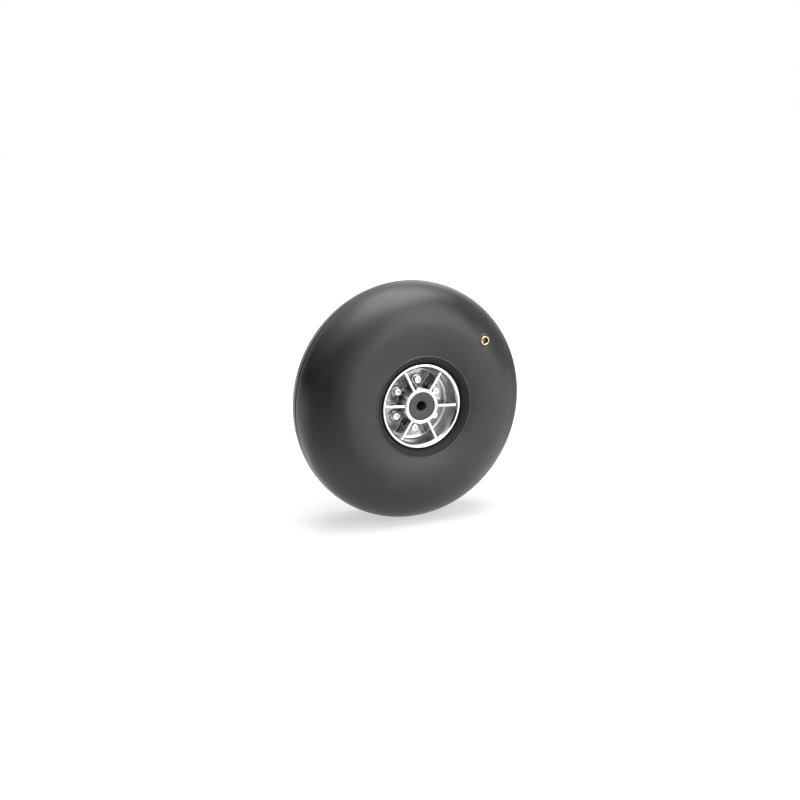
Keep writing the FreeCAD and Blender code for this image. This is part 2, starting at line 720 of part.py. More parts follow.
def gasket_section():
    """Rubber ring under the core's head, pressed on the cone of the stem's bore."""
    top = "(core_depth + core_head_height)"
    slope = "((stem_bore_diameter - stem_throat_diameter) / 2 / stem_throat_cone)"
    cone_end = "(stem_bore_depth + stem_throat_cone - gasket_squash)"
    return [
        ("core_neck_diameter / 2", f"-{top}"),
        ("core_neck_diameter / 2", f"-{cone_end}"),
        (f"stem_throat_diameter / 2 + gasket_squash * {slope}", f"-{cone_end}"),
        ("stem_bore_diameter / 2", "-stem_bore_depth"),
        ("stem_bore_diameter / 2", f"-{top}"),
    ]


def pin_section():
    """The pin, from its tip in the mouth to the poppet's head behind the washer."""
    shaft, collar = "pin_diameter / 2", "pin_collar_diameter / 2"
    tip = "(core_depth - pin_reach)"
    washer_end = f"({CORE_END} + seal_thickness)"
    return [
        ("0", f"-{tip}"),
        ("0", f"-({washer_end} + poppet_height)"),
        ("seal_diameter / 2", f"-({washer_end} + poppet_height)"),
        ("seal_diameter / 2", f"-{washer_end}"),
        (shaft, f"-{washer_end}"),
        (shaft, f"-{COLLAR_FACE}"),
        (collar, f"-{COLLAR_FACE}"),
        (collar, "-core_depth"),
        (shaft, "-core_depth"),
        (shaft, f"-({tip} + {shaft} / 2)"),
        (f"{shaft} / 2", f"-{tip}"),
    ]


def make_spring():
    """The spring between the core's ledge and the pin's collar: a wire swept along a helix."""
    wire, gap = value_of("spring_wire"), value_of("spring_end_gap")
    low = -value_of(LEDGE) + gap + wire / 2
    high = -value_of(COLLAR_FACE) - gap - wire / 2
    widest = min(value_of("core_chamber_diameter"), value_of("pin_collar_diameter"))
    radius = (widest + value_of("pin_diameter")) / 4
    steps = round(value_of("spring_turns") * 16)
    points = []
    for i in range(steps + 1):
        angle = 2 * math.pi * i / 16
        height = low + (high - low) * i / steps
        points.append(FreeCAD.Vector(radius * math.cos(angle), height, radius * math.sin(angle)))
    helix = Part.BSplineCurve()
    helix.interpolate(points)
    section = Part.Circle(points[0], helix.tangent(helix.FirstParameter)[0], wire / 2)
    path = Part.Wire(helix.toShape())
    spring = DOCUMENT.addObject("Part::Feature", "valve_spring")
    spring.Label = "valve_spring"
    spring.Shape = path.makePipeShell([Part.Wire(section.toShape())], True, True)
    place(spring, FRONT, "valve_angle", "valve_radius", VALVE_MOUTH)
    return spring


def make_valve():
    """Stem, core, gasket, pin, washer and spring."""
    washer = [
        ("pin_diameter / 2", f"-{CORE_END}"),
        ("pin_diameter / 2", f"-({CORE_END} + seal_thickness)"),
        ("seal_diameter / 2", f"-({CORE_END} + seal_thickness)"),
        ("seal_diameter / 2", f"-{CORE_END}"),
    ]
    return [
        make_turned("valve_stem", stem_outside(hollow=True)),
        make_turned("valve_core", core_section()),
        make_turned("valve_gasket", gasket_section()),
        make_turned("valve_pin", pin_section()),
        make_turned("valve_washer", washer),
        make_spring(),
    ]


# ---------------------------------------------------------------- whole wheel


def check_and_write(pieces):
    """Stops on any failed object or bad shape, then writes one file for each piece."""
    DOCUMENT.recompute()
    failed = [o.Name for o in DOCUMENT.Objects if {"Invalid", "Error"} & set(o.State)]
    if failed:
        raise RuntimeError(f"these objects failed: {failed}")
    for piece in pieces:
        shape = piece.Shape
        if shape.isNull() or not shape.isValid() or not shape.Solids:
            raise RuntimeError(f"{piece.Label} has no valid solid")
    os.makedirs(OUT_FOLDER, exist_ok=True)
    for piece in pieces:
        piece.Shape.exportStep(os.path.join(OUT_FOLDER, f"{piece.Label}.step"))
        box = piece.Shape.BoundBox
        print(f"{piece.Label:16} {len(piece.Shape.Solids)} solid  {piece.Shape.Volume:10.2f} mm3"
              f"  y {box.YMin:7.2f} to {box.YMax:7.2f}")


def main():
    screws = range(int(value_of("rib_count")))
    pieces = [
        make_tyre(),
        make_hub_half("outer_hub_half", FRONT, pockets=False),
        make_hub_half("inner_hub_half", BACK, pockets=True),
        make_bush("outer_bush", FRONT),
        make_bush("inner_bush", BACK),
        *[make_tie_screw(i) for i in screws],
        *[make_tie_nut(i) for i in screws],
        *make_valve(),
    ]
    check_and_write(pieces)


main()
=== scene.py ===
# %% [markdown]
# # An inflatable wheel with a polished hub
#
# This lesson dresses the engineering model of a large model aircraft's wheel. The model arrives as
# a fixed frame: every piece is already at its real size and place. We never move it. We give each
# piece its finish, and where a piece needs a finer surface than the engineering mesh has, we model
# a better one in the same place and hide the original.

# %% Load the engineering model
import math
import bmesh
import bpy
from mathutils import Matrix, Vector


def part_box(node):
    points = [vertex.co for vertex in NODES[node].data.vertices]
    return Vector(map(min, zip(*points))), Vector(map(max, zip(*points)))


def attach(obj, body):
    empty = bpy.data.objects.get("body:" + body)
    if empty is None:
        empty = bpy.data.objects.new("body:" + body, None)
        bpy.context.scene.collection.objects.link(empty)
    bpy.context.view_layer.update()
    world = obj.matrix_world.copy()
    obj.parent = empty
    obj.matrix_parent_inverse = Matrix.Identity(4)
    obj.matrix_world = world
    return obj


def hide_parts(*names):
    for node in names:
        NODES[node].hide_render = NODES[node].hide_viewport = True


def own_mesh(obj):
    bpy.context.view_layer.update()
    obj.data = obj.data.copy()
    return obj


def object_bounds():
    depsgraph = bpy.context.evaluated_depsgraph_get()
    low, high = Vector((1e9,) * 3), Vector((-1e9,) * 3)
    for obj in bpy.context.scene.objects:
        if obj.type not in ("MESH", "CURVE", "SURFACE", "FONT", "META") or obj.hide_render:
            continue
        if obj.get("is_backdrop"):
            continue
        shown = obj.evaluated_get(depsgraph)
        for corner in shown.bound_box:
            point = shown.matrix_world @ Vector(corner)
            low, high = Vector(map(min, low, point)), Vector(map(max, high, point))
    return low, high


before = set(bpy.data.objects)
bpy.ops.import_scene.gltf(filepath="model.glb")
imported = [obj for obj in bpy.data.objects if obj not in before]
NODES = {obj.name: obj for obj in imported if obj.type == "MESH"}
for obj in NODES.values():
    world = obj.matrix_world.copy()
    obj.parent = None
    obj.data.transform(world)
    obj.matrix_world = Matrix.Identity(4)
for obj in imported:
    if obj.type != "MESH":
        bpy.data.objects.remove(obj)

CAD_LOW, CAD_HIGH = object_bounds()
MM = 0.001
print("pieces:", len(NODES), "overall size, mm:", [round(v / MM, 1) for v in CAD_HIGH - CAD_LOW])

# %% [markdown]
# ## Camera
#
# The wheel stands upright and turns about Y. Its outboard face, with the valve, looks along -Y. The
# camera stands a little to the left of the axle's line and a little above it, so that the round
# shoulder of the tyre shows on the left and the dish of the hub shows its right-hand wall.

# %% Place the camera
CAMERA_AZIMUTH = math.radians(-25.7)
CAMERA_ELEVATION = math.radians(13.0)
CAMERA_ROLL = math.radians(0.1)
CAMERA_DISTANCE = 0.8  # metres from the wheel's centre
FRAME_WIDTH_AT_WHEEL = 0.5087  # metres that the picture spans at the wheel's centre
SENSOR_WIDTH = 36.0
OFF_CENTRE = (-0.0098, -0.0003)  # the wheel is a little right of the middle


def towards(azimuth, elevation):
    """The direction this far round to the right of the wheel's front, and this far up."""
    return Vector((math.sin(azimuth) * math.cos(elevation),
                   -math.cos(azimuth) * math.cos(elevation), math.sin(elevation)))


towards_camera = towards(CAMERA_AZIMUTH, CAMERA_ELEVATION)
camera_data = bpy.data.cameras.new("camera")
camera_data.sensor_width = SENSOR_WIDTH
camera_data.lens = SENSOR_WIDTH * CAMERA_DISTANCE / FRAME_WIDTH_AT_WHEEL
camera_data.shift_x, camera_data.shift_y = OFF_CENTRE
camera = bpy.data.objects.new("camera", camera_data)
bpy.context.scene.collection.objects.link(camera)
camera.location = towards_camera * CAMERA_DISTANCE
aim = (-towards_camera).to_track_quat("-Z", "Y")
camera.rotation_euler = (aim.to_matrix() @ Matrix.Rotation(CAMERA_ROLL, 3, "Z")).to_euler()
bpy.context.scene.camera = camera
print("lens, mm:", round(camera_data.lens, 1))

# %% [markdown]
# ## Node helpers
#
# Every finish here is a node tree around one Principled shader. A few short helpers keep the trees
# readable: one adds a node, one joins sockets, one starts a material, and the rest do sums, blends,
# noise and bumps. Patterns are placed by Object coordinates, which are metres in this frame, so a
# grain of a given size stays that size.

# %% Define the node helpers
MIX_FIRST, MIX_SECOND, MIX_RESULT = 6, 7, 2  # where the Mix node keeps its colour sockets


def add_node(tree, kind, **settings):
    node = tree.nodes.new(kind)
    for name, value in settings.items():
        setattr(node, name, value)
    return node


def feed(tree, socket, value):
    """Joins a socket to another one, or sets it to a number, a grey or a colour."""
    if hasattr(value, "links"):
        tree.links.new(value, socket)
    elif socket.type == "RGBA" and isinstance(value, (int, float)):
        socket.default_value = (value, value, value, 1)
    elif socket.type == "RGBA":
        socket.default_value = (*value, 1)
    else:
        socket.default_value = value


def new_material(name):
    """A material with a Principled shader, its tree and its Object coordinates."""
    material = bpy.data.materials.new(name)
    material.use_nodes = True
    tree = material.node_tree
    shader = tree.nodes["Principled BSDF"]
    place = add_node(tree, "ShaderNodeTexCoord")
    return material, tree, shader, place.outputs["Object"]


def work_out(tree, operation, *values):
    node = add_node(tree, "ShaderNodeMath", operation=operation)
    for socket, value in zip(node.inputs, values):
        feed(tree, socket, value)
    return node.outputs[0]


def times(tree, first, second):
    return work_out(tree, "MULTIPLY", first, second)


def plus(tree, first, second):
    return work_out(tree, "ADD", first, second)


def larger(tree, first, second):
    return work_out(tree, "MAXIMUM", first, second)


def blend_between(tree, value, low, high, at_low=0.0, at_high=1.0):
    """Goes smoothly from at_low to at_high while the value goes from low to high."""
    node = add_node(tree, "ShaderNodeMapRange", interpolation_type="SMOOTHSTEP")
    ends = {"From Min": low, "From Max": high, "To Min": at_low, "To Max": at_high}
    for name, number in ends.items():
        feed(tree, node.inputs[name], number)
    feed(tree, node.inputs["Value"], value)
    return node.outputs[0]


def mix_colours(tree, share, first, second):
    node = add_node(tree, "ShaderNodeMix", data_type="RGBA")
    feed(tree, node.inputs["Factor"], share)
    feed(tree, node.inputs[MIX_FIRST], first)
    feed(tree, node.inputs[MIX_SECOND], second)
    return node.outputs[MIX_RESULT]


def noise(tree, place, size, detail=3.0, roughness=0.5):
    """Noise whose patches are about `size` metres across."""
    node = add_node(tree, "ShaderNodeTexNoise")
    feed(tree, node.inputs["Scale"], 1 / size)
    feed(tree, node.inputs["Detail"], detail)
    feed(tree, node.inputs["Roughness"], roughness)
    feed(tree, node.inputs["Vector"], place)
    return node.outputs["Fac"]


def bump(tree, height, distance, strength=1.0, before=None):
    node = add_node(tree, "ShaderNodeBump")
    feed(tree, node.inputs["Strength"], strength)
    feed(tree, node.inputs["Distance"], distance)
    feed(tree, node.inputs["Height"], height)
    if before is not None:
        feed(tree, node.inputs["Normal"], before)
    return node.outputs["Normal"]


def separate(tree, place):
    parts = add_node(tree, "ShaderNodeSeparateXYZ")
    feed(tree, parts.inputs[0], place)
    return parts.outputs


def wheel_place(tree, place):
    """The distance from the axle's line, and the distance from the wheel's middle plane."""
    x, y, z = separate(tree, place)
    radius = work_out(tree, "SQRT", plus(tree, times(tree, x, x), times(tree, z, z)))
    return radius, work_out(tree, "ABSOLUTE", y)


def shade(tree, shader, colour, roughness, normal, metallic=0.0):
    sockets = {"Base Color": colour, "Roughness": roughness, "Normal": normal, "Metallic": metallic}
    for name, value in sockets.items():
        feed(tree, shader.inputs[name], value)


def rings(tree, way, pitch):
    """Fine rings, as a tool or a thread leaves them: a wave along the radius or the height."""
    return work_out(tree, "SINE", times(tree, way, 2 * math.pi / pitch))


def give(piece, material):
    piece.data.materials.clear()
    piece.data.materials.append(material)


print("helpers ready")

# %% [markdown]
# ## Tyre rubber
#
# The tyre is soft, nearly black rubber from a polished mould, with a satin sheen that spreads the
# studio's lights into wide soft patches. Three small irregularities keep it from looking like
# plastic: cloudy changes in the sheen where the mould release dried, a fine grain, and faint rings
# that the lathe left in the mould's cheeks.
#
# In the groove of the tread, by the rim, and in the strip from the rim out to the moulded line the
# rubber is dull, and painted shade makes it nearly black. The line's crest gets a painted
# highlight, so it is lighter.

# %% Make the rubber
TREAD_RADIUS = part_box("tyre")[1].z
RIM_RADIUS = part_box("inner_hub_half")[1].z
RIM_GAP = 1.1 * MM  # the tyre's shoulder stays this far from the rim
LINE_RADIUS = 32.1 * MM  # the fine moulded line on each cheek
LINE_HALF_WIDTH = 0.45 * MM
RUBBER_GREY = 0.018
DUST_GREY = (0.05, 0.049, 0.046)
DUST_SHARE = 0.18
# Painted shade: the groove, the rim's side and the strip inside the line are painted nearly black.
PAINTED_SHADE_GREY = 0.004
DULL_ROUGHNESS = 0.95
# the strip is less dull and less painted shade than the groove
STRIP_SHADE_AND_DULLNESS = 0.78  # the strip between rim and line is less dull than the groove
# a painted highlight along the crest of the moulded line
CREST_HIGHLIGHT_GREY = 0.07


def shade_and_dullness(tree, radius, height):
    """1 where the rubber is dull and painted shade darkens it: the groove and the rim's side, and
    partly the strip inside the line; 0 elsewhere.
    """
    rim = RIM_RADIUS + RIM_GAP
    by_rim = blend_between(tree, radius, rim + 1.2 * MM, rim)
    in_groove = times(
        tree, blend_between(tree, height, 0.75 * MM, 0.45 * MM),
        blend_between(tree, radius, TREAD_RADIUS - 0.1 * MM, TREAD_RADIUS - 0.3 * MM))
    strip = blend_between(tree, radius, LINE_RADIUS, LINE_RADIUS - LINE_HALF_WIDTH,
                          0.0, STRIP_SHADE_AND_DULLNESS)
    return larger(tree, strip, larger(tree, by_rim, in_groove))


def make_rubber(name, grey=RUBBER_GREY):
    material, tree, shader, place = new_material(name)
    radius, height = wheel_place(tree, place)
    clouds = noise(tree, place, 22 * MM, 4.0, 0.6)
    specks = noise(tree, place, 1.6 * MM, 3.0, 0.65)
    tone = mix_colours(tree, blend_between(tree, clouds, 0.35, 0.7), grey * 0.85, grey * 1.25)
    bloom = blend_between(tree, times(tree, clouds, specks), 0.28, 0.42)
    dusty = mix_colours(tree, times(tree, bloom, DUST_SHARE), tone, DUST_GREY)
    # painted shade, with dull roughness, in the groove, by the rim and in the strip inside the line
    shaded_and_dull = shade_and_dullness(tree, radius, height)
    # painted highlight: the crest of the moulded line is painted lighter
    beside = work_out(tree, "SUBTRACT", radius, LINE_RADIUS + 0.1 * MM)
    crest_highlight = blend_between(tree, work_out(tree, "ABSOLUTE", beside), LINE_HALF_WIDTH, 0.25 * MM)
    dark = mix_colours(tree, shaded_and_dull, dusty, PAINTED_SHADE_GREY)
    sheen = blend_between(tree, clouds, 0.3, 0.72, 0.31, 0.41)
    satin = plus(tree, sheen, blend_between(tree, specks, 0.3, 0.75, -0.02, 0.05))
    dull = larger(tree, satin, times(tree, shaded_and_dull, DULL_ROUGHNESS))
    grain = bump(tree, noise(tree, place, 0.35 * MM, 2.0), 0.004 * MM, 0.6)
    cheek = bump(tree, rings(tree, radius, 0.9 * MM), 0.0012 * MM, 0.5, grain)
    swell = bump(tree, noise(tree, place, 9 * MM, 1.0), 0.02 * MM, 0.5, cheek)
    shade(tree, shader, mix_colours(tree, crest_highlight, dark, CREST_HIGHLIGHT_GREY), dull, swell)
    return material


RUBBER = make_rubber("tyre_rubber")
print("rubber nodes:", len(RUBBER.node_tree.nodes))

# %% [markdown]
# ## Polished alloy
#
# The hub halves are cast, and then polished by hand. The lip, the tops of the ribs and the boss are
# easy to reach, so they are bright. Down in the dish the metal keeps the slow waves of the casting
# and a streaky skin, with painted light on it: painted shade makes it darker on the floor, where it
# still mirrors what is round it, and a painted highlight from the floor's round corner up makes it
# light but satin on the wall. One material does it all: it goes from the skin to the polish just
# below the ribs' tops. On the lip only the face is polished, and the chamfer inside it gets painted
# shade, so it stays dull and darker.

# %% Make the polished alloy
POLISH_HEIGHTS = (18.85 * MM, 19.25 * MM)  # skin up to the first, polish from the second
LIP_STARTS = (23.6 * MM, 23.9 * MM)  # radii between which the rim's wall becomes the lip
LIP_SHADE = 0.95 * MM  # the polish starts this much higher on the lip
# From the floor's round corner the skin turns from painted shade to a painted highlight on the
# wall; the chamfer keeps only a share of that highlight, so it is painted shade.
WALL_STARTS = (21.3 * MM, 22.1 * MM)  # radii between which the floor becomes the wall
WALL_ENDS = (24.25 * MM, 24.05 * MM)  # radii between which the wall becomes the chamfer
CHAMFER_HIGHLIGHT_SHARE = 0.1  # how much of the wall's brightness the chamfer keeps
WALL_ROUGHNESS = 0.20  # what the wall's satin adds to the floor's roughness
# painted shade darkens the floor's skin, and a painted highlight lightens the wall's skin
SHADED_FLOOR_SKIN = ((0.26, 0.26, 0.27), (0.44, 0.44, 0.45))
HIGHLIGHTED_WALL_SKIN = ((0.74, 0.74, 0.75), (0.92, 0.92, 0.93))
POLISH = ((0.82, 0.82, 0.83), (0.91, 0.91, 0.91))


def make_alloy(name, polish_heights):
    material, tree, shader, place = new_material(name)
    radius, height = wheel_place(tree, place)
    beyond = blend_between(tree, radius, *LIP_STARTS, 0.0, LIP_SHADE)
    polished = blend_between(tree, work_out(tree, "SUBTRACT", height, beyond), *polish_heights)
    waves = noise(tree, place, 5 * MM, 3.0, 0.55)
    stretched = add_node(tree, "ShaderNodeMapping")
    feed(tree, stretched.inputs["Vector"], place)
    stretched.inputs["Scale"].default_value = (1.0, 0.2, 1.0)
    streaks = noise(tree, stretched.outputs[0], 1.4 * MM, 4.0, 0.7)
    tarnish = times(tree, blend_between(tree, waves, 0.35, 0.65),
                    blend_between(tree, streaks, 0.25, 0.75, 0.6, 1.0))
    # painted highlight on the wall, going to painted shade on the floor and on the lip's chamfer
    wall_highlight_and_satin = times(tree, blend_between(tree, radius, *WALL_STARTS),
                    blend_between(tree, radius, *WALL_ENDS, CHAMFER_HIGHLIGHT_SHARE, 1.0))
    skin = mix_colours(tree, wall_highlight_and_satin, mix_colours(tree, tarnish, *SHADED_FLOOR_SKIN),
                       mix_colours(tree, tarnish, *HIGHLIGHTED_WALL_SKIN))
    bright = mix_colours(tree, blend_between(tree, waves, 0.3, 0.7), *POLISH)
    deep = plus(tree, blend_between(tree, streaks, 0.3, 0.7, 0.08, 0.20),
                times(tree, wall_highlight_and_satin, WALL_ROUGHNESS))
    shallow = blend_between(tree, waves, 0.3, 0.7, 0.12, 0.20)
    rough = plus(tree, times(tree, deep, work_out(tree, "SUBTRACT", 1.0, polished)),
                 times(tree, shallow, polished))
    cast = bump(tree, waves, 0.30 * MM, 0.6)
    scratch = bump(tree, streaks, 0.012 * MM, 0.5, cast)
    lathe = bump(tree, rings(tree, radius, 0.22 * MM), 0.001 * MM, 0.4, scratch)
    shade(tree, shader, mix_colours(tree, polished, skin, bright), rough, lathe, metallic=1.0)
    return material


ALLOY = make_alloy("polished_alloy", POLISH_HEIGHTS)
# a painted highlight for the posts' tops: the alloy without the dish's painted shade
UNSHADED_ALLOY = make_alloy("unshaded_alloy", (0.0, 1.0 * MM))  # low heights: polished all over
print("alloy nodes:", len(ALLOY.node_tree.nodes))

# %% [markdown]
# ## Bushes
#
# Each bush is a turned piece of dark grey engineering plastic. It is matt, its face has the rings
# of the turning tool, and fine dust has settled on it in patches.

# %% Make the grey plastic
PLASTIC_GREYS = (0.052, 0.075)
PLASTIC_DUST = (0.12, 0.116, 0.11)
PLASTIC_DUST_SHARE = 0.3


def make_plastic():
    material, tree, shader, place = new_material("grey_plastic")
    radius, _ = wheel_place(tree, place)
    mottle = noise(tree, place, 1.2 * MM, 4.0, 0.6)
    dust = blend_between(tree, noise(tree, place, 4 * MM, 3.0), 0.45, 0.75)
    plain = mix_colours(tree, blend_between(tree, mottle, 0.3, 0.7), *PLASTIC_GREYS)
    dusty = mix_colours(tree, times(tree, dust, PLASTIC_DUST_SHARE), plain, PLASTIC_DUST)
    turned = bump(tree, rings(tree, radius, 0.35 * MM), 0.006 * MM, 0.6)
    shade(tree, shader, dusty, blend_between(tree, mottle, 0.3, 0.7, 0.42, 0.58),
          bump(tree, mottle, 0.01 * MM, 0.5, turned))
    return material


PLASTIC = make_plastic()
print("plastic nodes:", len(PLASTIC.node_tree.nodes))

# %% [markdown]
# ## Steel and brass
#
# The tie screws are bright stainless steel and their nuts are zinc plated. The valve is brass:
# bright on the rim of its mouth, and painted dark brown inside, as shade in its bore.

# %% Make the small metals
VALVE_MOUTH = -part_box("valve_stem")[0].y  # the stem faces -Y, so this is a height
CLEAN_BRASS = ((0.88, 0.68, 0.42), (0.95, 0.82, 0.58))
PAINTED_SHADE_BRASS = ((0.09, 0.06, 0.03), (0.34, 0.23, 0.11))
STEM_PITCH = 0.5 * MM


def make_metal(name, dull, clean, patch, rough):
    """A metal that varies between a dull and a clean colour, in patches of the given size."""
    material, tree, shader, place = new_material(name)
    patches = noise(tree, place, patch, 4.0, 0.65)
    grain = noise(tree, place, 0.12 * MM, 2.0)
    colour = mix_colours(tree, blend_between(tree, patches, 0.35, 0.65), dull, clean)
    shade(tree, shader, colour, blend_between(tree, patches, 0.3, 0.7, *rough),
          bump(tree, grain, 0.006 * MM, 0.5), metallic=1.0)
    return material


def make_stem_brass():
    """Brass that is clean at the stem's mouth, and painted dark brown as shade from half a
    millimetre down.
    """
    material, tree, shader, place = new_material("valve_brass")
    _, height = wheel_place(tree, place)
    patches = noise(tree, place, 0.8 * MM, 4.0, 0.65)
    # painted shade: the stem is painted dark brown from half a millimetre below its mouth
    at_mouth = blend_between(tree, height, VALVE_MOUTH - 0.5 * MM, VALVE_MOUTH - 0.15 * MM)
    clean = mix_colours(tree, patches, *CLEAN_BRASS)
    shaded_brass = mix_colours(tree, patches, *PAINTED_SHADE_BRASS)
    thread = bump(tree, rings(tree, height, STEM_PITCH), 0.05 * MM, 0.5)
    shade(tree, shader, mix_colours(tree, at_mouth, shaded_brass, clean),
          blend_between(tree, at_mouth, 0.0, 1.0, 0.5, 0.2),
          bump(tree, patches, 0.01 * MM, 0.5, thread), metallic=1.0)
    return material


SCREW_STEEL = make_metal("screw_steel", dull=(0.82, 0.82, 0.83), clean=(0.96, 0.96, 0.96),
                         patch=1.0 * MM, rough=(0.20, 0.35))
NUT_STEEL = make_metal("nut_steel", dull=(0.48, 0.49, 0.47), clean=(0.70, 0.70, 0.66),
                       patch=0.9 * MM, rough=(0.22, 0.40))
SPRING_STEEL = make_metal("spring_steel", dull=(0.28, 0.28, 0.30), clean=(0.5, 0.5, 0.52),
                          patch=0.4 * MM, rough=(0.2, 0.35))
CORE_BRASS = make_metal("core_brass", dull=(0.20, 0.13, 0.06), clean=(0.50, 0.36, 0.17),
                        patch=0.5 * MM, rough=(0.30, 0.55))
STEM_BRASS = make_stem_brass()
VALVE_RUBBER = make_rubber("valve_rubber", grey=0.03)
print("valve mouth at, mm:", round(VALVE_MOUTH / MM, 2))

# %% [markdown]
# ## Finish for the engineering pieces
#
# The valve's brass and rubber keep the engineering model's shape and only need a finish. The other
# pieces get one too, and finer meshes take their place below. The model's meshes are loose
# triangles, so a Weld modifier joins them, and an Edge Split keeps the real corners crisp.

# %% Dress the engineering pieces
FINISHES = {
    "tyre": RUBBER, "outer_hub_half": ALLOY, "inner_hub_half": ALLOY,
    "outer_bush": PLASTIC, "inner_bush": PLASTIC, "tie_screw": SCREW_STEEL, "tie_nut": NUT_STEEL,
    "valve_stem": STEM_BRASS, "valve_core": CORE_BRASS, "valve_pin": CORE_BRASS,
    "valve_gasket": VALVE_RUBBER, "valve_washer": VALVE_RUBBER, "valve_spring": SPRING_STEEL,
}
CORNER_DEGREES = 35  # edges sharper than this stay crisp
JOIN_WITHIN = 0.001 * MM  # vertices nearer than this are one


def smooth_shade(piece):
    weld = piece.modifiers.new("join", "WELD")
    weld.merge_threshold = JOIN_WITHIN
    split = piece.modifiers.new("corners", "EDGE_SPLIT")
    split.split_angle = math.radians(CORNER_DEGREES)
    for polygon in piece.data.polygons:
        polygon.use_smooth = True


for name, node in NODES.items():
    give(node, next(finish for start, finish in FINISHES.items() if name.startswith(start)))
    smooth_shade(node)
print("dressed:", len(NODES))

# %% [markdown]
# ## The tyre's section
#
# An inflated tyre is a body of revolution: one round arc over the tread, a flatter arc down each
# sidewall, a thin raised line that shows whether the tyre sits evenly on its rim, and a round
# shoulder down into the bead. We draw half of that section in the plane of X and Y, mirror it, and
# spin the whole outline round the axle.
#
# Every outline here is a path: a list of corners. A corner with three more entries is reached by an
# arc of that radius, in that many steps, with its centre on the left (True) or the right (False) of
# the way there. An arc is made by spinning one vertex about the arc's centre.

# %% Draw arcs and lines with a bmesh
HALF_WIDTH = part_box("tyre")[1].y
LIP_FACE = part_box("inner_hub_half")[1].y
SECTION_RADIUS = HALF_WIDTH
SECTION_CENTRE = TREAD_RADIUS - SECTION_RADIUS
print("tread radius, half width, rim radius, mm:",
      [round(v / MM, 2) for v in (TREAD_RADIUS, HALF_WIDTH, RIM_RADIUS)])


def line_to(mesh, corner, x, y):
    """Draws a straight line from a vertex to a place in the section's plane."""
    last = bmesh.ops.extrude_vert_indiv(mesh, verts=[corner])["verts"][0]
    bmesh.ops.translate(mesh, verts=[last], vec=Vector((x, y, 0)) - last.co)
    return last


def arc_to(mesh, corner, x, y, radius, steps, left):
    """Draws an arc from a vertex to a place, its centre on the left or the right of the way."""
    start, end = corner.co.copy(), Vector((x, y, 0))
    way = end - start
    side = 1 if left else -1
    across = Vector((-way.y, way.x, 0)).normalized() * side
    centre = (start + end) / 2 + across * math.sqrt(radius ** 2 - (way.length / 2) ** 2)
    turn = 2 * math.asin(way.length / 2 / radius) * side
    made = bmesh.ops.spin(mesh, geom=[corner], cent=centre, axis=(0, 0, 1), angle=turn, steps=steps)
    return next(item for item in made["geom_last"] if isinstance(item, bmesh.types.BMVert))


def draw_path(mesh, start, way):
    corner = mesh.verts.new((*start, 0))
    for x, y, *arc in way:
        corner = arc_to(mesh, corner, x, y, *arc) if arc else line_to(mesh, corner, x, y)


# %% [markdown]
# The mould's two cheeks meet at the middle of the tread and leave a fine groove there, with sloping
# sides. The raised line gets a round top instead of a knife edge.

# %% Draw half of the tyre's section
GROOVE = 0.8 * MM  # half of the groove's width
GROOVE_DEPTH = 0.5 * MM
LINE_FOOT = HALF_WIDTH - 2.4 * MM  # height of the raised line's foot
LINE_TOP = LINE_FOOT + 0.35 * MM
SHOULDER_RADIUS = 6 * MM  # the round shoulder between the line and the rim
LIP_THICKNESS = 1.2  # millimetres, as in the hub's sections
BEAD_SEAT = RIM_RADIUS - 1.2 * MM  # radius of the seat under the lip
LIP_BACK = LIP_FACE - LIP_THICKNESS * MM
BARREL_MIDDLE = BEAD_SEAT - 0.8 * MM  # radius of the seat where the hub's halves meet
WALL = 3.0 * MM  # thickness of the rubber over the air
BEAD_THICKNESS = 3.6 * MM
BEAD_HEIGHT = 14 * MM


def sidewall_radius():
    """The flatter arc leaves the widest place along the tread's arc and ends at the raised line."""
    drop = SECTION_CENTRE - LINE_RADIUS - LINE_HALF_WIDTH
    fall = HALF_WIDTH - LINE_FOOT
    return (drop ** 2 + fall ** 2) / (2 * fall)


def draw_outside(mesh):
    groove_floor = TREAD_RADIUS - GROOVE_DEPTH
    groove_edge = SECTION_CENTRE + math.sqrt(SECTION_RADIUS ** 2 - GROOVE ** 2)
    line_side = LINE_FOOT + (LINE_TOP - LINE_FOOT) * 0.8
    draw_path(mesh, (groove_floor, 0), [
        (groove_floor, GROOVE * 0.35), (TREAD_RADIUS - GROOVE_DEPTH * 0.4, GROOVE * 0.6),
        (groove_edge, GROOVE),
        (SECTION_CENTRE, HALF_WIDTH, SECTION_RADIUS, 40, True),
        (LINE_RADIUS + LINE_HALF_WIDTH, LINE_FOOT, sidewall_radius(), 18, True),
        (LINE_RADIUS + LINE_HALF_WIDTH * 0.5, line_side), (LINE_RADIUS, LINE_TOP),
        (LINE_RADIUS - LINE_HALF_WIDTH * 0.5, line_side),
        (LINE_RADIUS - LINE_HALF_WIDTH, LINE_FOOT),
        (RIM_RADIUS + RIM_GAP, LIP_FACE - RIM_GAP, SHOULDER_RADIUS, 10, True),
        (RIM_RADIUS + RIM_GAP, LIP_BACK), (BEAD_SEAT, LIP_BACK), (BARREL_MIDDLE, 0),
    ])


def draw_inside(mesh):
    foot = LINE_RADIUS + 2 * LINE_HALF_WIDTH
    radius = sidewall_radius() - WALL
    level = HALF_WIDTH - sidewall_radius() + math.sqrt(radius ** 2 - (SECTION_CENTRE - foot) ** 2)
    draw_path(mesh, (TREAD_RADIUS - WALL, 0), [
        (SECTION_CENTRE, HALF_WIDTH - WALL, SECTION_RADIUS - WALL, 24, True),
        (foot, level, radius, 8, True),
        (BEAD_SEAT + BEAD_THICKNESS, BEAD_HEIGHT), (BEAD_SEAT + BEAD_THICKNESS, 0),
    ])


print("sidewall radius, mm:", round(sidewall_radius() / MM, 2))

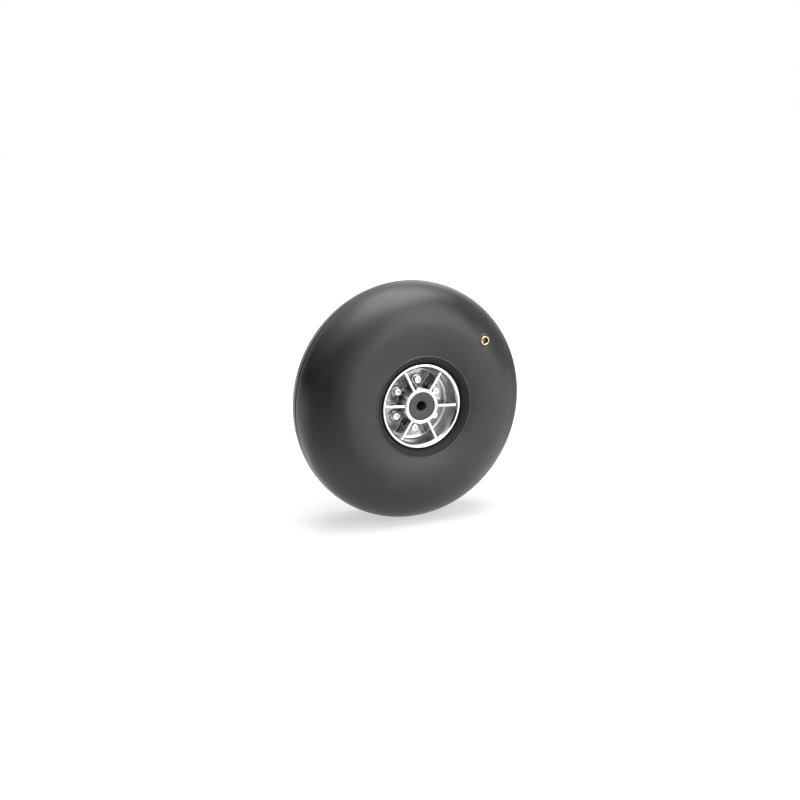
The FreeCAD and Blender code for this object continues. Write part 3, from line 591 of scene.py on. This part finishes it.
# %% [markdown]
# Mirroring the half outlines about the wheel's middle and merging their ends gives two closed
# outlines, the rubber's outside and the air space. Spun round Y they are two closed skins, one in
# the other. A full spin needs use_merge, or its first and last rings stay apart.

# %% Spin the tyre
TYRE_STEPS = 300


def spin_round_axle(mesh, steps):
    bmesh.ops.spin(mesh, geom=mesh.verts[:] + mesh.edges[:], cent=(0, 0, 0), axis=(0, 1, 0),
                   angle=2 * math.pi, steps=steps, use_merge=True)


def open_edges(mesh):
    return sum(edge.is_boundary for edge in mesh.edges)


def spin_tyre():
    mesh = bmesh.new()
    draw_outside(mesh)
    draw_inside(mesh)
    bmesh.ops.mirror(mesh, geom=mesh.verts[:] + mesh.edges[:], axis="Y", merge_dist=JOIN_WITHIN)
    bmesh.ops.remove_doubles(mesh, verts=mesh.verts, dist=JOIN_WITHIN)
    spin_round_axle(mesh, TYRE_STEPS)
    bmesh.ops.remove_doubles(mesh, verts=mesh.verts, dist=JOIN_WITHIN)
    return mesh


tyre_mesh = spin_tyre()
print("tyre skins:", len(tyre_mesh.faces), "faces, open edges:", open_edges(tyre_mesh))

# %% [markdown]
# ## The valve's seat in the tyre
#
# The valve stem is bonded into a rubber pad in the sidewall that faces outboard, and a low collar
# surrounds its mouth. We open both skins round the valve's axis, pull the outer hole's edge into a
# true circle, and draw the collar, the bore and the pad out of that edge ring by ring. Bridging the
# last ring to the inner skin joins the two skins into one closed rubber body.

# %% Open the skins and draw the collar
STEM_LOW, STEM_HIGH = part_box("valve_stem")
VALVE_AXIS = Vector(((STEM_LOW.x + STEM_HIGH.x) / 2, 0, (STEM_LOW.z + STEM_HIGH.z) / 2))
COLLAR_HEIGHT = VALVE_MOUTH - 0.3 * MM  # the brass stands a little out of the rubber
COLLAR_FOOT = 4.75 * MM
COLLAR_RINGS = ((4.3, 0.15), (4.05, 0.6), (3.92, 0.9), (3.75, 1.0))  # radius in mm, share of rise
PAD_LEVEL = VALVE_MOUTH - 6.9 * MM  # inner end of the pad round the stem
BORE_AND_PAD = (  # radius in mm, height
    (2.95, COLLAR_HEIGHT), (2.78, COLLAR_HEIGHT - 0.15 * MM), (2.78, PAD_LEVEL), (5.3, PAD_LEVEL),
    (5.5, PAD_LEVEL + 0.2 * MM), (5.5, PAD_LEVEL + 2.2 * MM),
)


def from_valve(point):
    return Vector((point.x - VALVE_AXIS.x, 0, point.z - VALVE_AXIS.z))


def from_section_centre(point):
    """Distance from the circle that runs round the middle of the tyre's section."""
    return math.hypot(math.hypot(point.x, point.z) - SECTION_CENTRE, point.y)


def open_skin(mesh, radius, low, high):
    """Removes the outboard faces round the valve in one skin, and returns the hole's edges."""
    middles = {face: face.calc_center_median() for face in mesh.faces}
    doomed = [face for face, middle in middles.items()
              if middle.y < 0 and from_valve(middle).length < radius
              and low < from_section_centre(middle) < high]
    before = {edge for edge in mesh.edges if edge.is_boundary}
    bmesh.ops.delete(mesh, geom=doomed, context="FACES")
    return [edge for edge in mesh.edges if edge.is_boundary and edge not in before]


def shape_ring(edges, radius, height):
    """Puts the vertices of a ring at one distance from the valve's axis, at a height each."""
    for vertex in {vertex for edge in edges for vertex in edge.verts}:
        out = from_valve(vertex.co).normalized() * radius
        place = VALVE_AXIS + out
        place.y = -height(place)
        vertex.co = place


def draw_out(mesh, edges, radius, height):
    made = bmesh.ops.extrude_edge_only(mesh, edges=edges)["geom"]
    ring = [item for item in made if isinstance(item, bmesh.types.BMEdge) and item.is_boundary]
    shape_ring(ring, radius, height)
    return ring


def on_sidewall(place):
    """Height of the outer skin over a place in the wheel's plane."""
    return math.sqrt(SECTION_RADIUS ** 2 - (math.hypot(place.x, place.z) - SECTION_CENTRE) ** 2)


def seat_valve(mesh):
    between_skins = SECTION_RADIUS - WALL / 2
    inner = open_skin(mesh, 6.0 * MM, SECTION_RADIUS - 2 * WALL, between_skins)
    ring = open_skin(mesh, 4.5 * MM, between_skins, SECTION_RADIUS + WALL)
    shape_ring(ring, COLLAR_FOOT, on_sidewall)
    for radius, share in COLLAR_RINGS:
        ring = draw_out(mesh, ring, radius * MM, lambda place: (
            on_sidewall(place) * (1 - share) + COLLAR_HEIGHT * share))
    for radius, level in BORE_AND_PAD:
        ring = draw_out(mesh, ring, radius * MM, lambda place: level)
    bmesh.ops.bridge_loops(mesh, edges=ring + inner)
    bmesh.ops.recalc_face_normals(mesh, faces=mesh.faces)


seat_valve(tyre_mesh)
print("open edges left:", open_edges(tyre_mesh),
      "volume, cm3:", round(tyre_mesh.calc_volume() * 1e6, 1))

# %% [markdown]
# The finished mesh becomes an object at the origin, rides on the wheel, takes the tyre's material
# and hides the engineering tyre. Edges sharper than 35 degrees stay crisp.

# %% Put the tyre on the wheel
def add_object(mesh, name):
    """Turns a bmesh into an object of the scene."""
    data = bpy.data.meshes.new(name)
    mesh.to_mesh(data)
    mesh.free()
    made = bpy.data.objects.new(name, data)
    bpy.context.scene.collection.objects.link(made)
    return made


def finish_piece(mesh, name, material, body, corner_degrees=CORNER_DEGREES):
    """Turns a bmesh into a piece of the wheel."""
    for edge in mesh.edges:
        edge.smooth = edge.calc_face_angle(0) < math.radians(corner_degrees)
    for face in mesh.faces:
        face.smooth = True
    piece = add_object(mesh, name)
    give(piece, material)
    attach(piece, body)
    return piece


tyre_piece = finish_piece(tyre_mesh, "moulded_tyre", RUBBER, "wheel")
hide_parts("tyre")
print("tyre piece:", len(tyre_piece.data.polygons), "faces")

# %% [markdown]
# ## Sections in millimetres
#
# The hub's pieces are small, so their sections are written in millimetres and scaled once at the
# end. All pieces are drawn as if they faced +Y, and the outboard ones are mirrored afterwards, so
# their normals are worked out again.

# %% Turn a section
TINY = 0.0005  # millimetres


def turn_on_lathe(start, way, steps):
    """A body of revolution about Y, from the path round its section."""
    mesh = bmesh.new()
    draw_path(mesh, start, way)
    spin_round_axle(mesh, steps)
    bmesh.ops.remove_doubles(mesh, verts=mesh.verts, dist=TINY)
    bmesh.ops.dissolve_degenerate(mesh, edges=mesh.edges, dist=TINY)
    bmesh.ops.recalc_face_normals(mesh, faces=mesh.faces)
    return mesh


def join(target, part, angle=0.0, radius=0.0):
    """Copies a part into a larger bmesh, moved out along X and turned about the axle."""
    data = bpy.data.meshes.new("part")
    part.to_mesh(data)
    data.transform(Matrix.Rotation(-angle, 4, "Y") @ Matrix.Translation((radius, 0, 0)))
    target.from_mesh(data)
    bpy.data.meshes.remove(data)


def to_place(mesh, outboard):
    """Mirrors an outboard piece, and scales millimetres to metres."""
    if outboard:
        bmesh.ops.scale(mesh, verts=mesh.verts, vec=(1, -1, 1))
        bmesh.ops.recalc_face_normals(mesh, faces=mesh.faces)
    bmesh.ops.scale(mesh, verts=mesh.verts, vec=(MM, MM, MM))
    return mesh


print("lathe ready")

# %% [markdown]
# ## The dish of a hub half
#
# Each half is one casting. Its section runs from the bore out along the split, up the taper under
# the tyre's bead, round the lip, and down the wall into a dish about 12 mm deep. The boss holds the
# bush, and a fine groove runs round its face. Rounds in the corner of the floor and on the edges
# catch the light as thin bright lines, and from the corner of the floor up the wall the alloy also
# carries a painted highlight.

# %% Turn the dish
LIP = LIP_FACE / MM  # heights above the split, and radii, in millimetres
RIM = RIM_RADIUS / MM
FLOOR_OF_DISH = LIP - 12.3
FLOOR_THICKNESS = 1.8
BOSS_FACE = LIP - 0.3
BUSH_FACE = LIP - 0.9
BUSH_LENGTH = 12.0
BUSH_SEAT = 8.95
BORE_WALL = 4.2  # clears the axle behind the bush
HUB_TUBE = 8.0  # the tube round the axle between the halves
BARREL_INSIDE = 23.2
BARREL_OUTSIDE = 24.6
BARREL_TAPER = 0.8  # the barrel grows by this from the split to the lip
LIP_ROUND = 0.4
CORNER = 1.5  # round corner between wall and floor
BOSS_CORNER = 0.9
BOSS_ROUND = 0.45
GROOVE_FLOOR = BOSS_FACE - 0.8  # the fine groove in the boss's face


def wall_radius(height):
    """Inside of the rim's wall, which leans with the bead's seat."""
    return BARREL_INSIDE + BARREL_TAPER * height / (LIP - LIP_THICKNESS)


def turn_dish():
    floor, mouth = FLOOR_OF_DISH, LIP - 0.8
    back = floor - FLOOR_THICKNESS
    wall, foot = wall_radius(mouth), wall_radius(floor + CORNER)
    return turn_on_lathe((BORE_WALL, 0), [
        # along the split, and up the barrel to the lip
        (HUB_TUBE, 0), (HUB_TUBE, back), (BARREL_INSIDE, back), (BARREL_INSIDE, 0),
        (BARREL_OUTSIDE, 0),
        (BARREL_OUTSIDE + BARREL_TAPER, LIP - LIP_THICKNESS), (RIM, LIP - LIP_THICKNESS),
        (RIM, LIP - LIP_ROUND), (RIM - LIP_ROUND, LIP, LIP_ROUND, 6, True),
        # the flare inside the lip, the wall, and the floor
        (wall + 1.4, LIP), (wall + 1.2, LIP - 0.1), (wall + 0.1, mouth - 0.5), (wall, mouth - 0.8),
        (foot, floor + CORNER), (foot - CORNER, floor, CORNER, 10, False),
        # the boss with its groove, and the seat of the bush
        (11.5 + BOSS_CORNER, floor), (11.5, floor + BOSS_CORNER, BOSS_CORNER, 8, False),
        (11.2, BOSS_FACE - BOSS_ROUND), (11.2 - BOSS_ROUND, BOSS_FACE, BOSS_ROUND, 6, True),
        (10.6, BOSS_FACE), (10.5, GROOVE_FLOOR), (10.0, GROOVE_FLOOR), (9.9, BOSS_FACE),
        (BUSH_SEAT + BOSS_ROUND, BOSS_FACE),
        (BUSH_SEAT, BOSS_FACE - BOSS_ROUND, BOSS_ROUND, 6, True),
        (BUSH_SEAT, BUSH_FACE - BUSH_LENGTH), (BORE_WALL, BUSH_FACE - BUSH_LENGTH), (BORE_WALL, 0),
    ], steps=256)


dish = turn_dish()
print("dish:", len(dish.faces), "faces, open edges:", open_edges(dish))

# %% [markdown]
# ## Ribs and webs
#
# Six ribs join the boss to the rim, and a low web ties each screw post to the boss. Both are bars
# with a flared foot, where the casting's corner is filleted, and a rounded top. We draw that
# section once, fill it, and push it out to its length.

# %% Push out a bar
RIB_TOP = LIP - 1.1
POST_TOP = FLOOR_OF_DISH + 2.0
SCREW_CIRCLE = 15.3  # radius of the circle through the screws
BAR_START = 10.1  # the bars begin inside the boss's wall
ROOT_DEPTH = 0.6  # bars and posts reach this deep into the floor


def push_out_bar(half, top, foot, crown, outer):
    """A bar along +X from the boss to an outer radius, standing on the dish's floor."""
    floor, root = FLOOR_OF_DISH, FLOOR_OF_DISH - ROOT_DEPTH
    wide = half + foot
    mesh = bmesh.new()
    draw_path(mesh, (-wide, root), [
        (-wide, floor), (-half, floor + foot, foot, 5, True), (-half, top - crown),
        (-half + crown, top, crown, 5, False), (half - crown, top),
        (half, top - crown, crown, 5, False), (half, floor + foot),
        (wide, floor, foot, 5, True), (wide, root), (-wide, root),
    ])
    bmesh.ops.remove_doubles(mesh, verts=mesh.verts, dist=TINY)
    end = bmesh.ops.edgeloop_fill(mesh, edges=mesh.edges)["faces"]
    made = bmesh.ops.extrude_face_region(mesh, geom=end, use_keep_orig=True)["geom"]
    moved = [item for item in made if isinstance(item, bmesh.types.BMVert)]
    bmesh.ops.translate(mesh, verts=moved, vec=(0, 0, outer - BAR_START))
    bmesh.ops.translate(mesh, verts=mesh.verts, vec=(0, 0, BAR_START))
    bmesh.ops.rotate(mesh, verts=mesh.verts, cent=(0, 0, 0),
                     matrix=Matrix.Rotation(math.pi / 2, 3, "Y"))
    bmesh.ops.recalc_face_normals(mesh, faces=mesh.faces)
    return mesh


rib = push_out_bar(half=0.9, top=RIB_TOP, foot=0.6, crown=0.45, outer=BARREL_OUTSIDE)
web = push_out_bar(half=1.0, top=POST_TOP, foot=0.5, crown=0.3, outer=SCREW_CIRCLE)
print("rib faces:", len(rib.faces), "open edges:", open_edges(rib))

# %% [markdown]
# ## Screw posts
#
# A post is turned like the dish, but about its own axis. Its top has a hole for the screw, or on
# the inboard half a hexagonal pocket that keeps the nut from turning. A hexagon comes out of a
# turned ring by pulling its vertices in to the flats: each goes to the apothem, half the width
# between flats, divided by the cosine of the angle from the flat's middle.

# %% Turn a post
POST_RADIUS = 3.5
POST_FOOT = 0.6
POST_ROUND = 0.3
POCKET_DEPTH = 0.9
POCKET_RADIUS = 3.0
POCKET_APOTHEM = 2.6
SMALL_STEPS = 48  # steps round a post, a screw or a nut


def pull_to_hexagon(mesh, apothem, lowest, highest):
    """Moves the vertices of the rings between two radii in to the flats of a hexagon."""
    for vertex in mesh.verts:
        out = Vector((vertex.co.x, 0, vertex.co.z))
        if lowest < out.length < highest:
            angle = math.atan2(out.z, out.x) % (math.pi / 3) - math.pi / 6
            scale = min(1.0, apothem / math.cos(angle) / out.length)
            vertex.co.x *= scale
            vertex.co.z *= scale


def turn_post(mouth, depth):
    floor, wide = FLOOR_OF_DISH, POST_RADIUS + POST_FOOT
    return turn_on_lathe((0, floor - ROOT_DEPTH), [
        (wide, floor - ROOT_DEPTH), (wide, floor),
        (POST_RADIUS, floor + POST_FOOT, POST_FOOT, 5, False), (POST_RADIUS, POST_TOP - POST_ROUND),
        (POST_RADIUS - POST_ROUND, POST_TOP, POST_ROUND, 4, True),
        (mouth, POST_TOP), (mouth, POST_TOP - depth), (0, POST_TOP - depth),
    ], SMALL_STEPS)


plain_post = turn_post(mouth=1.4, depth=1.0)
pocket_post = turn_post(mouth=POCKET_RADIUS, depth=POCKET_DEPTH)
pull_to_hexagon(pocket_post, POCKET_APOTHEM, POCKET_RADIUS - 0.05, POCKET_RADIUS + 0.05)
print("post faces:", len(plain_post.faces), len(pocket_post.faces))

# %% [markdown]
# ## The two hub halves
#
# Dish, ribs, webs and posts go into one mesh per half. They stay closed skins that pass into each
# other, as bars fused in a casting would look from outside. The tops of the posts get a painted
# highlight: an alloy that is polished all over, without the painted shade of the dish.

# %% Cast the hub halves
RIB_PHASE = math.radians(-3.9)
SIXTH = math.pi / 3
SCREW_ANGLES = [RIB_PHASE + SIXTH * (turn + 0.5) for turn in range(6)]
# the posts' tops use the second material, a painted highlight
UNSHADED_INDEX = 1  # index of the brighter alloy in a half's materials


def cast_hub_half(post):
    mesh = bmesh.new()
    join(mesh, dish)
    for turn, screw_angle in enumerate(SCREW_ANGLES):
        join(mesh, rib, RIB_PHASE + SIXTH * turn)
        join(mesh, web, screw_angle)
        join(mesh, post, screw_angle, SCREW_CIRCLE)
    bmesh.ops.recalc_face_normals(mesh, faces=mesh.faces)
    # faces on the posts' tops get the painted highlight
    for face in mesh.faces:
        above = face.calc_center_median().y - POST_TOP
        if face.normal.y > 0.9 and abs(above) < 0.2:
            face.material_index = UNSHADED_INDEX
    return mesh


for half_name, node_name, post, outboard in (
        ("outer_dish", "outer_hub_half", plain_post, True),
        ("inner_dish", "inner_hub_half", pocket_post, False)):
    half = to_place(cast_hub_half(post), outboard)
    piece = finish_piece(half, half_name, ALLOY, "wheel", corner_degrees=40)
    piece.data.materials.append(UNSHADED_ALLOY)
    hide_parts(node_name)
    print(half_name, len(piece.data.polygons), "faces")

# %% [markdown]
# ## Tie screws
#
# Six cap screws clamp the halves. A screw is turned in one piece: the threaded tip, the shank, and
# the head with its rounded edge and its socket. Then the socket's ring is pulled to a hexagon and
# every second vertex round the head is pressed in, which makes the knurl.

# %% Turn the tie screws
NUT_SEAT = POST_TOP - POCKET_DEPTH
NUT_TOP = NUT_SEAT + 2.0
SCREW_TIP = -(NUT_TOP + 0.8)  # the screw's end stands out of the nut
SHANK_RADIUS = 1.25
HEAD_RADIUS = 2.25
HEAD_TOP = POST_TOP + 2.5
SOCKET_RADIUS = 1.08
SOCKET_APOTHEM = 1.0
THREAD_PITCH = 0.45
THREAD_RIDGE = ((1.22, 0.1), (1.22, 0.17), (1.0, 0.38), (1.0, 0.43))  # radius, rise
KNURL = 0.955  # every second vertex is pressed in to this share of the radius


def turn_screw():
    thread = [(radius, SCREW_TIP + 0.35 + THREAD_PITCH * turn + rise)
              for turn in range(7) for radius, rise in THREAD_RIDGE]
    mesh = turn_on_lathe((0, SCREW_TIP), [
        (0.85, SCREW_TIP), *thread, (SHANK_RADIUS, thread[-1][1] + 0.3), (SHANK_RADIUS, POST_TOP),
        (HEAD_RADIUS - 0.15, POST_TOP), (HEAD_RADIUS, POST_TOP + 0.15),
        (HEAD_RADIUS, HEAD_TOP - 0.35), (HEAD_RADIUS - 0.3, HEAD_TOP - 0.02, 0.32, 4, True),
        (SOCKET_RADIUS + 0.17, HEAD_TOP),
        (SOCKET_RADIUS, HEAD_TOP - 0.12), (SOCKET_RADIUS, HEAD_TOP - 1.3), (0, HEAD_TOP - 1.5),
    ], SMALL_STEPS)
    pull_to_hexagon(mesh, SOCKET_APOTHEM, SOCKET_RADIUS - 0.03, SOCKET_RADIUS + 0.02)
    for vertex in mesh.verts:
        step = round(math.atan2(vertex.co.z, vertex.co.x) / (2 * math.pi) * SMALL_STEPS)
        if math.hypot(vertex.co.x, vertex.co.z) > HEAD_RADIUS - 0.01 and step % 2:
            vertex.co.x *= KNURL
            vertex.co.z *= KNURL
    return mesh


def nearest_node(start, middle):
    """The engineering piece of one kind whose middle is nearest to a place."""
    return min((name for name in NODES if name.startswith(start)),
               key=lambda name: (sum(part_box(name), Vector()) / 2 - middle).length)


def place_six(part, name, material, node_start, outboard):
    """Puts a part in each post, where it stands for the nearest engineering piece."""
    for number, angle in enumerate(SCREW_ANGLES, start=1):
        mesh = bmesh.new()
        join(mesh, part, angle, SCREW_CIRCLE)
        to_place(mesh, outboard)
        piece = finish_piece(mesh, f"{name}_{number}", material, "wheel")
        vertices = piece.data.vertices
        middle = sum((vertex.co for vertex in vertices), Vector()) / len(vertices)
        nearest = nearest_node(node_start, middle)
        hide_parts(nearest)
        print(piece.name, "stands for", nearest)


place_six(turn_screw(), "cap_screw", SCREW_STEEL, "tie_screw", outboard=True)

# %% [markdown]
# ## Nuts
#
# The nuts sit in the pockets of the inboard half. A nut is a turned ring whose outer side is pulled
# in to a hexagon: only the corners keep the turned chamfer, as on a real nut.

# %% Turn the nuts
NUT_RADIUS = 2.88  # over the corners
NUT_APOTHEM = 2.5
NUT_FOOT = NUT_SEAT + 0.05  # a hair of air under the nut
NUT_BORE = 1.3


def turn_nut():
    mesh = turn_on_lathe((NUT_BORE, NUT_FOOT), [
        (2.4, NUT_FOOT), (NUT_RADIUS, NUT_SEAT + 0.3), (NUT_RADIUS, NUT_TOP - 0.25), (2.4, NUT_TOP),
        (1.55, NUT_TOP), (NUT_BORE, NUT_TOP - 0.2), (NUT_BORE, NUT_FOOT),
    ], SMALL_STEPS)
    pull_to_hexagon(mesh, NUT_APOTHEM, 2.3, 3.0)
    return mesh


place_six(turn_nut(), "hexagon_nut", NUT_STEEL, "tie_nut", outboard=False)

# %% [markdown]
# ## The bushes
#
# A bush is a plain turned sleeve that is pressed into the boss. Its face lies a little behind the
# boss's, and both ends have a small chamfer. Round its edge the face falls off very slightly.

# %% Turn the bushes
AXLE_BORE = 3.175  # radius
BUSH_RADIUS = 8.9
BUSH_CHAMFER = 0.35


def turn_bush():
    face, end = BUSH_FACE, BUSH_FACE - BUSH_LENGTH
    return turn_on_lathe((AXLE_BORE, end + BUSH_CHAMFER), [
        (AXLE_BORE + BUSH_CHAMFER, end), (BUSH_RADIUS - BUSH_CHAMFER, end),
        (BUSH_RADIUS, end + BUSH_CHAMFER), (BUSH_RADIUS, face - BUSH_CHAMFER),
        (8.8, face - 0.12), (8.55, face - 0.02), (7.2, face), (3.6, face), (3.4, face - 0.08),
        (AXLE_BORE, face - BUSH_CHAMFER), (AXLE_BORE, end + BUSH_CHAMFER),
    ], steps=160)


for bush_name, node_name, outboard in (
        ("outer_sleeve", "outer_bush", True), ("inner_sleeve", "inner_bush", False)):
    bush = to_place(turn_bush(), outboard)
    piece = finish_piece(bush, bush_name, PLASTIC, "wheel")
    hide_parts(node_name)
    print(bush_name, len(piece.data.polygons), "faces")

# %% [markdown]
# ## The valve's spring
#
# The spring behind the pin's collar is a wire of a fifth of a millimetre in five turns. A spin that
# also moves a little along its axis at every step draws a helix.

# %% Coil the spring
SPRING_LOW, SPRING_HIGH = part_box("valve_spring")
SPRING_TURNS = 5
STEPS_PER_TURN = 24
WIRE_RADIUS = 0.1 * MM
WIRE_SIDES = 10


def coil_spring():
    coil_radius = (SPRING_HIGH.x - SPRING_LOW.x) / 2 - WIRE_RADIUS
    length = SPRING_HIGH.y - SPRING_LOW.y - 2 * WIRE_RADIUS
    steps = SPRING_TURNS * STEPS_PER_TURN
    mesh = bmesh.new()
    bmesh.ops.create_circle(mesh, segments=WIRE_SIDES, radius=WIRE_RADIUS)
    start = VALVE_AXIS + Vector((coil_radius, SPRING_LOW.y + WIRE_RADIUS, 0))
    bmesh.ops.translate(mesh, verts=mesh.verts, vec=start)
    bmesh.ops.spin(mesh, geom=mesh.verts[:] + mesh.edges[:], cent=VALVE_AXIS, axis=(0, 1, 0),
                   dvec=(0, length / steps, 0), angle=2 * math.pi * SPRING_TURNS, steps=steps)
    ends = [edge for edge in mesh.edges if edge.is_boundary]
    bmesh.ops.holes_fill(mesh, edges=ends, sides=WIRE_SIDES)
    bmesh.ops.recalc_face_normals(mesh, faces=mesh.faces)
    return mesh


spring = coil_spring()
print("spring, open edges:", open_edges(spring))
spring_piece = finish_piece(spring, "coiled_spring", SPRING_STEEL, "wheel")
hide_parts("valve_spring")
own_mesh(spring_piece)

# %% [markdown]
# ## Studio
#
# The wheel stands on a pale table. One large soft light hangs overhead and a second one stands in
# front, a little to the right. Three kinds of rays each see a brightness of their own:
#
# - The camera sees white all round, and the table with a soft shadow.
# - Shiny surfaces see a room. Its left side is dark, which draws the tyre's left shoulder and gives
#   the polished metal a contrast. The right wall is dim, a window stands at the back right, and the
#   ceiling is bright. The table is lit near the wheel, in front right and behind left.
# - Matt surfaces get a weak even fill.

# %% Build the table
FLOOR_LEVEL = CAD_LOW.z
TABLE_REACH = 6.0  # metres from the middle to each side


def make_floor():
    grid = bmesh.new()
    bmesh.ops.create_grid(grid, x_segments=1, y_segments=1, size=TABLE_REACH)
    bmesh.ops.translate(grid, verts=grid.verts, vec=(0, 0, FLOOR_LEVEL))
    floor = add_object(grid, "floor")
    floor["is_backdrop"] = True
    return floor


def ray_kinds(tree):
    """1 for rays that are seen directly, and 1 for glossy rays."""
    rays = add_node(tree, "ShaderNodeLightPath").outputs
    seen = larger(tree, rays["Is Camera Ray"], rays["Is Transmission Ray"])
    return seen, rays["Is Glossy Ray"]


def make_floor_material():
    material, tree, shader, place = new_material("studio_floor")
    mottle = noise(tree, place, 40 * MM, 3.0)
    feed(tree, shader.inputs["Base Color"], mix_colours(tree, mottle, 0.50, 0.52))
    shader.inputs["Roughness"].default_value = 0.9
    shader.inputs["Specular IOR Level"].default_value = 0.0
    length = add_node(tree, "ShaderNodeVectorMath", operation="LENGTH")
    feed(tree, length.inputs[0], place)
    away = length.outputs["Value"]
    x, y, _ = separate(tree, place)
    white = blend_between(tree, away, 0.08, 0.2, 0.55, 0.9)
    near = times(tree, blend_between(tree, away, 0.10, 0.24, 0.8, 0.0),
                 blend_between(tree, x, -0.03, 0.05, 0.75, 0.65))
    front = times(tree, blend_between(tree, x, -0.02, 0.15, 0.0, 1.1),
                  blend_between(tree, y, 0.03, -0.06))
    behind = times(tree, blend_between(tree, x, 0.0, -0.06),
                   blend_between(tree, y, 0.02, 0.08, 0.0, 0.9))
    mirrored = plus(tree, near, plus(tree, front, behind))
    seen, glossy = ray_kinds(tree)
    glow = add_node(tree, "ShaderNodeEmission")
    feed(tree, glow.inputs["Strength"],
         plus(tree, times(tree, white, seen), times(tree, mirrored, glossy)))
    both = add_node(tree, "ShaderNodeAddShader")
    feed(tree, both.inputs[0], shader.outputs[0])
    feed(tree, both.inputs[1], glow.outputs[0])
    feed(tree, tree.nodes["Material Output"].inputs["Surface"], both.outputs[0])
    return material


floor = make_floor()
give(floor, make_floor_material())
print("table at, mm:", round(FLOOR_LEVEL / MM, 1))

# %% Hang the surround and the lights
SOFT_FILL = 0.32
DARKEST_WALL = 0.04
RIGHT_WALL_DARKNESS = 0.48
WINDOW_BRIGHTNESS = 1.3
CEILING_BRIGHTNESS = 0.7


def make_surround():
    world = bpy.data.worlds.new("studio")
    bpy.context.scene.world = world
    world.use_nodes = True
    tree = world.node_tree
    x, y, z = separate(tree, add_node(tree, "ShaderNodeTexCoord").outputs["Generated"])
    dark_side = times(tree, blend_between(tree, x, -0.15, -0.7), blend_between(tree, z, 0.75, 0.45))
    right_wall = times(tree, blend_between(tree, x, 0.45, 0.8), blend_between(tree, y, 0.75, 0.4))
    darkness = larger(tree, dark_side, times(tree, right_wall, RIGHT_WALL_DARKNESS))
    room = blend_between(tree, darkness, 0.0, 1.0, 1.0, DARKEST_WALL)
    window = times(tree, blend_between(tree, x, 0.2, 0.6), times(
        tree, blend_between(tree, y, 0.5, 0.85),
        blend_between(tree, z, 0.0, 0.35, 0.0, WINDOW_BRIGHTNESS)))
    ceiling = blend_between(tree, z, 0.7, 0.97, 0.0, CEILING_BRIGHTNESS)
    mirrored = plus(tree, room, larger(tree, window, ceiling))
    seen, glossy = ray_kinds(tree)
    soft = times(tree, SOFT_FILL, work_out(tree, "SUBTRACT", 1.0, larger(tree, seen, glossy)))
    level = plus(tree, plus(tree, seen, soft), times(tree, glossy, mirrored))
    background = tree.nodes["Background"]
    feed(tree, background.inputs["Color"], 1.0)
    feed(tree, background.inputs["Strength"], level)


def add_soft_light(name, azimuth, elevation, distance, size, brightness):
    """A rectangle of even light that faces the wheel; brightness 1 is as bright as white paper."""
    data = bpy.data.lights.new(name, "AREA")
    data.shape = "RECTANGLE"
    data.size, data.size_y = size
    data.energy = brightness * math.pi * size[0] * size[1]
    lamp = bpy.data.objects.new(name, data)
    bpy.context.scene.collection.objects.link(lamp)
    direction = towards(math.radians(azimuth), math.radians(elevation))
    lamp.location = direction * distance
    lamp.rotation_euler = direction.to_track_quat("Z", "Y").to_euler()
    lamp.visible_camera = False


make_surround()
add_soft_light("overhead_light", azimuth=60, elevation=84, distance=0.9, size=(0.9, 0.9),
               brightness=3.9)
add_soft_light("front_light", azimuth=28, elevation=23, distance=1.1, size=(0.75, 1.0),
               brightness=2.7)
bpy.context.scene.view_settings.view_transform = "Standard"

# %% [markdown]
# ## Sizes
#
# The dressed wheel must be as large as the engineering model, so we print how far the sizes differ.

# %% Compare the sizes and finish
low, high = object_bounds()
differences = [abs(a - b) for a, b in zip((*low, *high), (*CAD_LOW, *CAD_HIGH))]
print("largest difference, mm:", max(differences) / MM)
